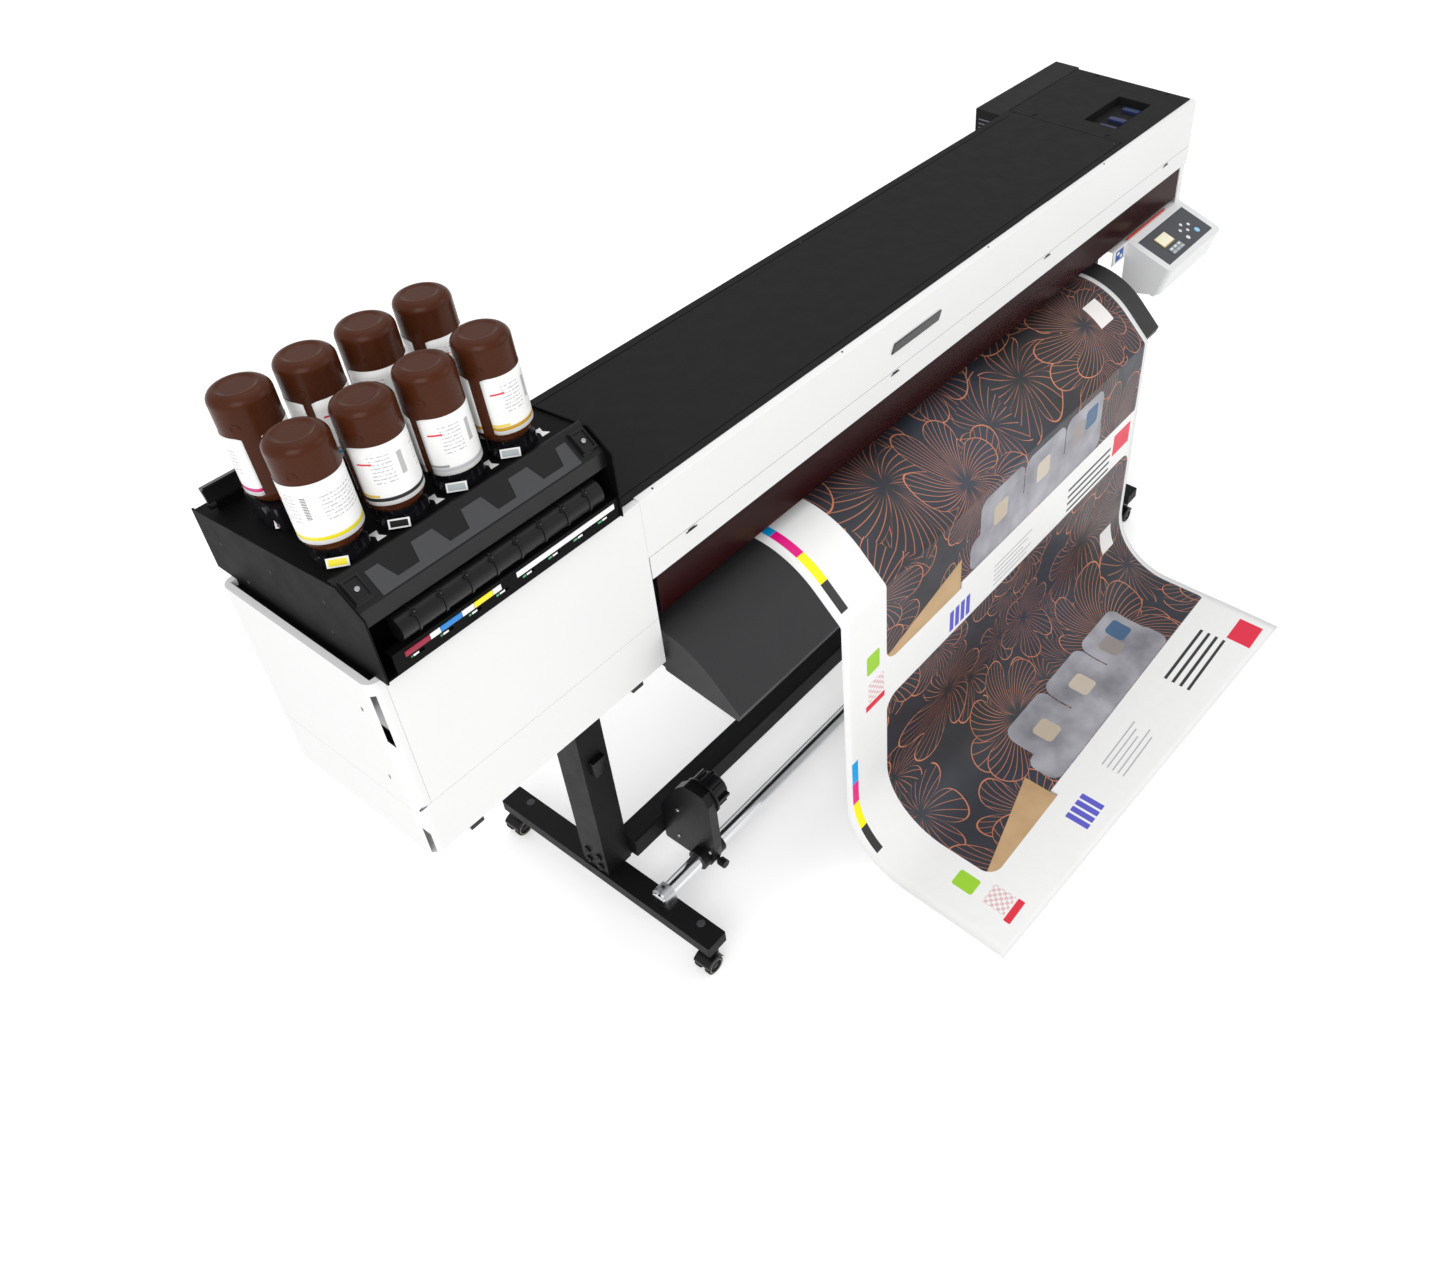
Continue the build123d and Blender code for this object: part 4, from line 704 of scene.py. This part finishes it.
def deck_marks():
    """White arrow marks on the deck, framed tags beside the collars and deck screws."""
    deck_turn = Matrix.Rotation(math.atan(deck_slope), 4, "X")
    arrows = []
    frames = []
    colours = (bar_yellow, black, pad_grey, pad_grey, bar_magenta)
    fills = {mat: [] for mat in colours}
    for i in range(8):
        lo, hi = box[f"ink_bottle_{i + 1}"]
        x = (lo.x + hi.x) / 2 - left_x
        y = (lo.y + hi.y) / 2 - front_y - 0.006
        spot = at(x + 0.049, y - 0.020, deck_height(y - 0.020) + 0.0002)
        base = Matrix.Translation(spot) @ deck_turn
        for side in (-1, 1):
            head = [(-0.008, 0.013), (0.008, 0.013), (0.003, 0.0), (-0.003, 0.0)]
            outline = [(px, py * side) for px, py in head]
            arrows.append((shape_prism(outline[::side], 0.0006, 0.0001), base))
        if i < len(colours):
            out = Vector((-0.62, -0.78, 0.55)).normalized()
            tag = at(x - 0.027, y - 0.036, deck_height(y - 0.036) + 0.010)
            lean = facing(tag, out)
            frames.append((shape_box((0.032, 0.015, 0.0016), 0.0004), lean))
            fills[colours[i]].append(
                (shape_box((0.026, 0.010, 0.0008), 0.0002), lean @ Matrix.Translation((0, 0, 0.0010))))
    piece("deck_arrows", arrows, mark_white)
    piece("collar_tag_frames", frames, mark_white)
    for k, (mat, parts) in enumerate(fills.items()):
        piece(f"collar_tags_{k + 1}", parts, mat)
    x0 = box["ink_tray"][0].x - left_x
    x1 = box["ink_tray"][1].x - left_x
    heads = []
    for y, drop in ((0.06, 0.030), (0.20, 0.030), (0.34, 0.030), (0.07, 0.095), (0.30, 0.095)):
        heads.append((screw(0.0028), facing(at(x0, y, deck_height(y) - drop), (-1, 0, 0))))
        heads.append((screw(0.0028), facing(at(x1, y, deck_height(y) - drop), (1, 0, 0))))
    for x in (0.20, 0.31, 0.42):
        heads.append((screw(0.0022), facing(at(x - 0.02, 0.060, deck_height(0.060)), (0, 0, 1))))
    piece("tray_screws", heads, plastic)


def ledge_trim():
    """Grey teeth, screws and recessed end blocks on the sloped ledge."""
    lo, hi = box["tray_ledge"]
    low = Vector((0, front_y - 0.003, lo.z + 0.032))
    high = Vector((0, front_y + 0.046, hi.z))
    along = (high - low).normalized()
    normal = Vector((1, 0, 0)).cross(along)
    length = (high - low).length
    run = hi.x - lo.x - 0.092
    outline = [(0, 0), (run, 0), (run, length * 0.70)]
    for share, top in ((0.945, 1), (0.925, 0), (0.815, 0), (0.790, 1), (0.690, 1), (0.670, 0),
                       (0.575, 0), (0.550, 1), (0.450, 1), (0.430, 0), (0.335, 0), (0.310, 1),
                       (0.210, 1), (0.190, 0), (0.090, 0), (0.060, 1)):
        outline.append((run * share, length * (0.70 if top else 0.20)))
    outline.append((0, length * 0.70))
    place = Matrix((
        (1, along.x, normal.x, lo.x + 0.046),
        (0, along.y, normal.y, low.y + along.y * 0.003 + normal.y * 0.0002),
        (0, along.z, normal.z, low.z + along.z * 0.003 + normal.z * 0.0002),
        (0, 0, 0, 1)))
    piece("ledge_teeth", [(shape_prism(outline, 0.0009, 0.0003), place)], tooth_grey)
    heads = []
    frames = []
    for x in (lo.x + 0.021, hi.x - 0.021):
        spot = low + along * (length * 0.50) + normal * 0.0068
        spot.x = x
        heads.append((screw(0.0045, 0.0018), facing(spot, normal)))
        for side in (-1, 1):
            edge = spot + Vector((side * 0.0125, 0, 0))
            frames.append((shape_box((0.003, 0.040, 0.0035), 0.0008), facing(edge, normal)))
            edge = spot + along * (side * 0.018)
            frames.append((shape_box((0.024, 0.003, 0.0035), 0.0008), facing(edge, normal)))
    piece("ledge_screws", heads, steel)
    piece("ledge_frames", frames, plastic)


def tube_trim():
    """A small open clip with a screw on each ring of the tube cover."""
    lo, hi = box["tube_cover"]
    y = front_y + 0.003
    z = (lo.z + hi.z) / 2 + 0.0005
    clips = []
    heads = []
    count = 8
    ring = [(0.0062, 0), (0.0062, 0.0022), (0.0046, 0.0022), (0.0046, 0)]
    for i in range(count):
        x = lo.x + 0.030 + (hi.x - lo.x - 0.060) * i / (count - 1)
        out = Vector((0, -0.62, 0.78)).normalized()
        spot = Vector((x, y, z)) + out * 0.0248
        clip = shape_lathe(ring, 20, math.radians(285))
        clips.append((clip, facing(spot, out, 0.6)))
        heads.append((screw(0.0026, 0.0016), facing(spot, out)))
    piece("tube_clips", clips, plastic)
    piece("tube_screws", heads, dark_metal)


def fascia_bars():
    """Coloured bars above the small light slots of the fascia."""
    lo, hi = box["ink_tray"]
    y = front_y - 0.016
    z0 = rim_top + 0.0245
    z1 = rim_top + 0.0350
    start = lo.x + 0.050
    run = hi.x - 0.012 - start
    shares = ((bar_magenta, 0.00, 0.105), (mark_white, 0.107, 0.150), (bar_blue, 0.152, 0.245),
              (mark_white, 0.247, 0.300), (bar_yellow, 0.302, 0.385), (mark_white, 0.387, 0.425),
              (mark_white, 0.500, 0.995))
    whites = []
    for k, (mat, a, b) in enumerate(shares):
        part = block((start + run * a, y - 0.0012, z0), (start + run * b, y + 0.0004, z1), 0.0002)
        if mat is mark_white:
            whites.append(part)
        else:
            piece(f"fascia_bar_{k + 1}", [part], mat)
    piece("fascia_bars_white", whites, mark_white)
    greens = []
    clears = []
    for i in range(8):
        x = lo.x + 0.062 + (hi.x - lo.x - 0.104) * i / 7
        z = rim_top + 0.017
        greens.append(block((x - 0.010, y + 0.0004, z - 0.002), (x - 0.002, y + 0.0022, z + 0.002), 0.0002))
        clears.append(block((x + 0.000, y + 0.0004, z - 0.002), (x + 0.010, y + 0.0022, z + 0.002), 0.0002))
    piece("fascia_lights_green", greens, bar_green)
    piece("fascia_lights_clear", clears, mark_white)


# ---------------------------------------------------------------- covers

def cover_trim():
    """Seams, screws, the blank badge and small parts of the covers."""
    x_seam = box["left_front_panel"][1].x
    z_low = box["left_front_panel"][0].z
    seams = [
        block((left_x + 0.028, front_y + 0.0005, z_low),
              (left_x + 0.0286, front_y + 0.0025, rim_top - 0.017), 0.0001),
        block((x_seam, front_y + 0.0006, z_low),
              (x_seam + 0.0007, front_y + 0.0025, rim_top - 0.018), 0.0001),
        block((left_x + 0.006, front_y + 0.00004, z_low - 0.0022),
              (x_seam, front_y + 0.0028, z_low + 0.0010), 0.00001),
        block((left_x + 0.00004, front_y + 0.02, z_low - 0.0022),
              (left_x + 0.0028, front_y + 0.365, z_low + 0.0010), 0.00001),
        block((x_seam, front_y + 0.00004, cover_seam - 0.0009),
              (left_x + total_w - 0.004, front_y + 0.0022, cover_seam + 0.0009), 0.00001),
    ]
    piece("cover_seams", seams, seam_grey)
    badge = [(0, 0), (0.178, 0), (0.190, 0.022), (0.012, 0.022)]
    place = Matrix.Translation(at(1.308, -0.0001, 1.166)) @ Matrix.Rotation(math.pi / 2, 4, "X")
    piece("blank_badge", [(shape_prism(badge, 0.0035, 0.0008), place)], badge_grey)
    tabs = []
    tab_top = box["left_skirt"][0].z + 0.0005
    for x in (0.093, 0.485):
        tabs.append(block(at(x - 0.014, 0.004, 0.826), at(x + 0.014, 0.012, tab_top), 0.001))
    piece("skirt_tabs", tabs, plastic)
    clips = []
    z = box["door_panel"][1].z
    for x in (0.671, 1.322, 1.972, 2.623):
        clips.append(block(at(x - 0.015, -0.0022, z - 0.0075), at(x + 0.015, -0.0010, z - 0.0040), 0.0003))
        clips.append(block(at(x - 0.009, -0.0022, z - 0.0035), at(x + 0.009, -0.0010, z - 0.0010), 0.0003))
    piece("hook_marks", clips, plastic, "door")
    heads = []
    for x in (0.60, 1.15, 1.70, 2.25):
        heads.append((screw(0.0022, 0.0010), facing(at(x, 0.0075, lid_top - 0.0045), (0, -0.45, 0.89))))
    for x, y in ((0.53, 0.36), (2.36, 0.36), (1.45, 0.365), (0.53, 0.04), (2.36, 0.04)):
        heads.append((screw(0.0030, 0.0014), facing(at(x, y, lid_top), (0, 0, 1))))
    piece("lid_screws", heads, dark_metal)
    lo, hi = box["right_top_plate"]
    lid_lo, lid_hi = box["top_lid"]
    low = lid_top - 0.001
    z = lid_top + 0.00003
    edges = [
        block((lo.x - 0.0010, lo.y + 0.006, low), (lo.x + 0.0010, hi.y - 0.004, z), 0.00001),
        block((lo.x, hi.y - 0.0035, low), (hi.x - 0.004, hi.y - 0.0015, z), 0.00001),
        block((lid_lo.x, lid_hi.y - 0.0215, low), (lo.x, lid_hi.y - 0.0190, z), 0.00001),
    ]
    piece("lid_seams", edges, seam_black)
    parts = []
    for x in (lo.x + 0.090, lo.x + 0.150, lo.x + 0.230):
        parts.append(block((x, front_y + 0.100, lid_top - 0.0235),
                           (x + 0.022, front_y + 0.150, lid_top - 0.014), 0.001))
    piece("plate_well_parts", parts, navy_part)


def opening_parts():
    """Small coloured parts seen inside the ends of the front opening."""
    z = 0.952
    piece("panel_red_strip", [block(at(2.442, 0.0015, z), at(2.673, 0.0055, z + 0.006), 0.001)], red_strip)
    label = [block(at(2.376, -0.0006, 0.912), at(2.420, 0.0004, 0.944), 0.0003)]
    piece("bulkhead_label", label, label_blue)
    marks = [block(at(2.382, -0.0010, 0.930), at(2.396, -0.0004, 0.939), 0.0002),
             block(at(2.401, -0.0010, 0.917), at(2.413, -0.0004, 0.926), 0.0002)]
    piece("bulkhead_label_marks", marks, mark_white)
    wall = at(2.690, 0.075, 1.03)
    piece("inner_yellow", [block(wall, wall + Vector((0.006, 0.035, 0.035)), 0.001)], label_yellow)
    wall = at(2.560, 0.062, 0.975)
    piece("inner_navy", [block(wall, wall + Vector((0.080, 0.020, 0.050)), 0.003)], navy_part)
    left = at(0.620, 0.058, 0.975)
    piece("left_inner_label", [block(left, left + Vector((0.024, 0.0015, 0.034)), 0.0003)], label_yellow)


def rear_trim():
    """Marks on the end of the rear box, screws of the box and rear wall, and the ends of the roll's core."""
    lo, hi = box["electrics_box"]
    bars = [block((lo.x - 0.0004, lo.y + 0.010, hi.z - 0.03 - 0.012 * i),
                  (lo.x + 0.0008, hi.y - 0.010, hi.z - 0.026 - 0.012 * i), 0.0002) for i in range(3)]
    piece("box_end_marks", bars, seam_grey)
    heads = []
    for x in (lo.x + 0.012, hi.x - 0.012, (lo.x + hi.x) / 2):
        for z in (lo.z + 0.012, hi.z - 0.012):
            heads.append((screw(0.0032, 0.0016), facing((x, hi.y, z), (0, 1, 0))))
    wall = box["rear_cover"]
    for i in range(8):
        x = wall[0].x + 0.04 + (lo.x - wall[0].x - 0.08) * i / 7
        for z in (wall[0].z + 0.02, wall[1].z - 0.02):
            heads.append((screw(0.0032, 0.0014), facing((x, wall[1].y, z), (0, 1, 0))))
    piece("rear_screws", heads, dark_metal)
    roll = box["media_roll"]
    rings = []
    centre_y = (roll[0].y + roll[1].y) / 2
    centre_z = (roll[0].z + roll[1].z) / 2
    for x, side in ((roll[0].x, -1), (roll[1].x, 1)):
        core = shape_lathe([(0.0342, 0), (0.0342, 0.0006), (0.0378, 0.0006), (0.0378, 0)], 40)
        rings.append((core, facing((x, centre_y, centre_z), (side, 0, 0))))
    piece("roll_core_ends", rings, core_card, "roll")


# ---------------------------------------------------------------- control panel

def panel_trim():
    """Display, arrow cross, key pad, lights and small key of the panel, and a clip under its housing."""
    press = Vector(joints["key_up_press"]["axis"])
    normal = -press
    across = Vector((1, 0, 0))
    down = across.cross(press).normalized()
    down = down if down.y < 0 else -down

    def centre(key):
        lo, hi = box[key]
        return (lo + hi) / 2 + normal * ((hi - lo).z * 0.32)

    face = Matrix((
        (across.x, -down.x, normal.x, 0), (across.y, -down.y, normal.y, 0),
        (across.z, -down.z, normal.z, 0), (0, 0, 0, 1)))
    mid = (centre("key_left") + centre("key_right")) / 2
    plate_hi = box["panel_face"][1]
    face_top = (Vector((0, plate_hi.y, plate_hi.z))).dot(normal) - 0.0006

    def put(u, v, proud=0.0):
        """A placement u across and v down from the middle of the arrow keys."""
        point = mid + across * u + down * v
        point += normal * (face_top - point.dot(normal) + proud)
        return Matrix.Translation(point) @ face

    cross = [(shape_box((0.040, 0.0012, 0.0006), 0.0002), put(0, 0)),
             (shape_box((0.0012, 0.020, 0.0006), 0.0002), put(0, 0))]
    piece("arrow_cross", cross, pad_grey)
    display_mid = put(-0.108, -0.011, 0.0024)
    piece("display", [(shape_box((0.060, 0.037, 0.0006), 0.0003), display_mid)], screen_material())
    edge = [(shape_box((0.004, 0.040, 0.0008), 0.0003), put(-0.140, -0.010, 0.0022)),
            (shape_box((0.064, 0.003, 0.0008), 0.0003), put(-0.110, 0.0095, 0.0022))]
    piece("display_edge", edge, screen_gold)
    pads = []
    rounds = []
    for i in range(3):
        u = -0.127 + i * 0.0225
        for j in range(2):
            pads.append((shape_box((0.020, 0.010, 0.0006), 0.0003), put(u, 0.026 + j * 0.012, 0.0024)))
        disc = shape_lathe([(0, 0.0008), (0.0030, 0.0008), (0.0034, 0)], 20)
        rounds.append((disc, put(u, 0.026, 0.0027)))
    piece("pad_keys", pads, pad_grey)
    piece("pad_rounds", rounds, mark_white)
    small = [(shape_box((0.012, 0.006, 0.0008), 0.0004), put(-0.118, 0.052, 0.0))]
    piece("small_key", small, key_white)
    dot = [(0, 0.0006), (0.0012, 0.0004), (0.0014, 0)]
    lights = [(shape_lathe(dot, 12), put(-0.075 + 0.010 * i, 0.046, 0.0)) for i in range(3)]
    piece("panel_lights", lights, bar_green)
    lo, hi = box["panel_housing"]
    foot = [block((lo.x + 0.02, lo.y + 0.050, lo.z - 0.006),
                  (lo.x + 0.035, lo.y + 0.062, lo.z + 0.002), 0.001)]
    piece("panel_foot_clip", foot, white_plastic)


# ---------------------------------------------------------------- stand

def caster_trim():
    """Pale tread edges on the caster wheels and an axle cap on each side."""
    for where in ("front", "rear"):
        for side in ("left", "right"):
            lo, hi = box[f"caster_wheels_{where}_{side}"]
            centre = (lo + hi) / 2
            radius = (hi.z - lo.z) / 2
            rings = []
            caps = []
            for sign in (-1, 1):
                face_y = lo.y if sign < 0 else hi.y
                place = facing((centre.x, face_y, centre.z), (0, sign, 0))
                ring = shape_lathe([(radius - 0.0058, 0), (radius - 0.0052, 0.0002),
                                    (radius - 0.0030, -0.0004), (radius - 0.0030, -0.0012)], 36)
                rings.append((ring, place))
                cap = shape_lathe([(0, -0.0008), (0.0060, -0.0010), (0.0080, -0.0026), (0.0080, -0.0034)], 28)
                caps.append((cap, place))
            piece(f"tread_edges_{where}_{side}", rings, tread, f"wheels_{where}_{side}")
            piece(f"axle_caps_{where}_{side}", caps, plastic, f"wheels_{where}_{side}")


def stand_trim():
    """Cable clip boxes, foot discs, clamp screws and bracket screws."""
    for side in ("left", "right"):
        lo, hi = box[f"leg_{side}"]
        middle_x = (lo.x + hi.x) / 2
        foot_z = box["take_up_rail"][0].z - 0.011
        clip = [block((middle_x - 0.018, front_y + 0.158, 0.470),
                      (middle_x + 0.018, front_y + 0.1745, 0.515), 0.002)]
        piece(f"post_clip_{side}", clip, plastic)
        discs = []
        for y in (lo.y + 0.060, hi.y - 0.060):
            disc = shape_lathe([(0, 0.0010), (0.0080, 0.0010), (0.0100, 0)], 24)
            discs.append((disc, facing((middle_x, y, foot_z), (0, 0, 1))))
        piece(f"foot_discs_{side}", discs, tooth_grey)
    lo, hi = box["take_up_rail_clamps"]
    heads = []
    for x in (lo.x + 0.014, hi.x - 0.014):
        heads.append((screw(0.0045, 0.0030), facing((x, (lo.y + hi.y) / 2, hi.z), (0, 0, 1))))
        heads.append((screw(0.0035, 0.0020), facing((x, lo.y, hi.z - 0.045), (0, -1, 0))))
    piece("clamp_screws", heads, dark_metal)
    for side, sign in (("left", 1), ("right", -1)):
        x = Vector(joints[f"hub_{side}_turn"]["pos_m"]).x - sign * 0.0002
        caps = []
        for y, z in ((0.085, 0.26), (-0.005, 0.17), (0.095, 0.155)):
            caps.append((screw(0.0050, 0.0030), facing((x, front_y + y, z), (-sign, 0, 0))))
        piece(f"bracket_screws_{side}", caps, steel, f"take_up_{side}")


def studio():
    """Pale floor and soft lights."""
    ground = bmesh.new()
    bmesh.ops.create_grid(ground, x_segments=2, y_segments=2, size=40.0)
    mesh = bpy.data.meshes.new("studio_floor")
    ground.to_mesh(mesh)
    ground.free()
    floor = bpy.data.objects.new("studio_floor", mesh)
    bpy.context.scene.collection.objects.link(floor)
    paper = surface("floor_white", (0.90, 0.90, 0.90), 0.8, specular=0.1, relief=0.0, wear=0.01)
    bsdf = paper.node_tree.nodes["Principled BSDF"]
    bsdf.inputs["Emission Color"].default_value = (1, 1, 1, 1)
    bsdf.inputs["Emission Strength"].default_value = 0.32
    mesh.materials.append(paper)
    floor.location = (0, 0, -0.0005)
    world = bpy.data.worlds.new("studio")
    bpy.context.scene.world = world
    world.use_nodes = True
    back = world.node_tree.nodes["Background"]
    back.inputs[0].default_value = (1, 1, 1, 1)
    back.inputs[1].default_value = 0.74
    for name, place, look, size, power in (
            ("key", (-4.0, -2.2, 4.0), (0, 0, 0.8), 3.0, 100.0),
            ("fill", (3.4, -3.0, 3.6), (0.3, 0, 0.6), 3.0, 35.0),
            ("top", (0.0, 0.6, 5.0), (0, 0, 0.6), 4.0, 45.0)):
        light = bpy.data.lights.new(name, "AREA")
        light.size = size
        light.energy = power
        obj = bpy.data.objects.new(name, light)
        obj.location = place
        direction = Vector(look) - Vector(place)
        obj.rotation_euler = direction.to_track_quat("-Z", "Y").to_euler()
        bpy.context.scene.collection.objects.link(obj)
    bpy.context.scene.view_settings.view_transform = "Standard"


finish_nodes()
printed_web()
bottle_dress()
deck_marks()
ledge_trim()
tube_trim()
fascia_bars()
cover_trim()
opening_parts()
rear_trim()
panel_trim()
caster_trim()
stand_trim()
studio()
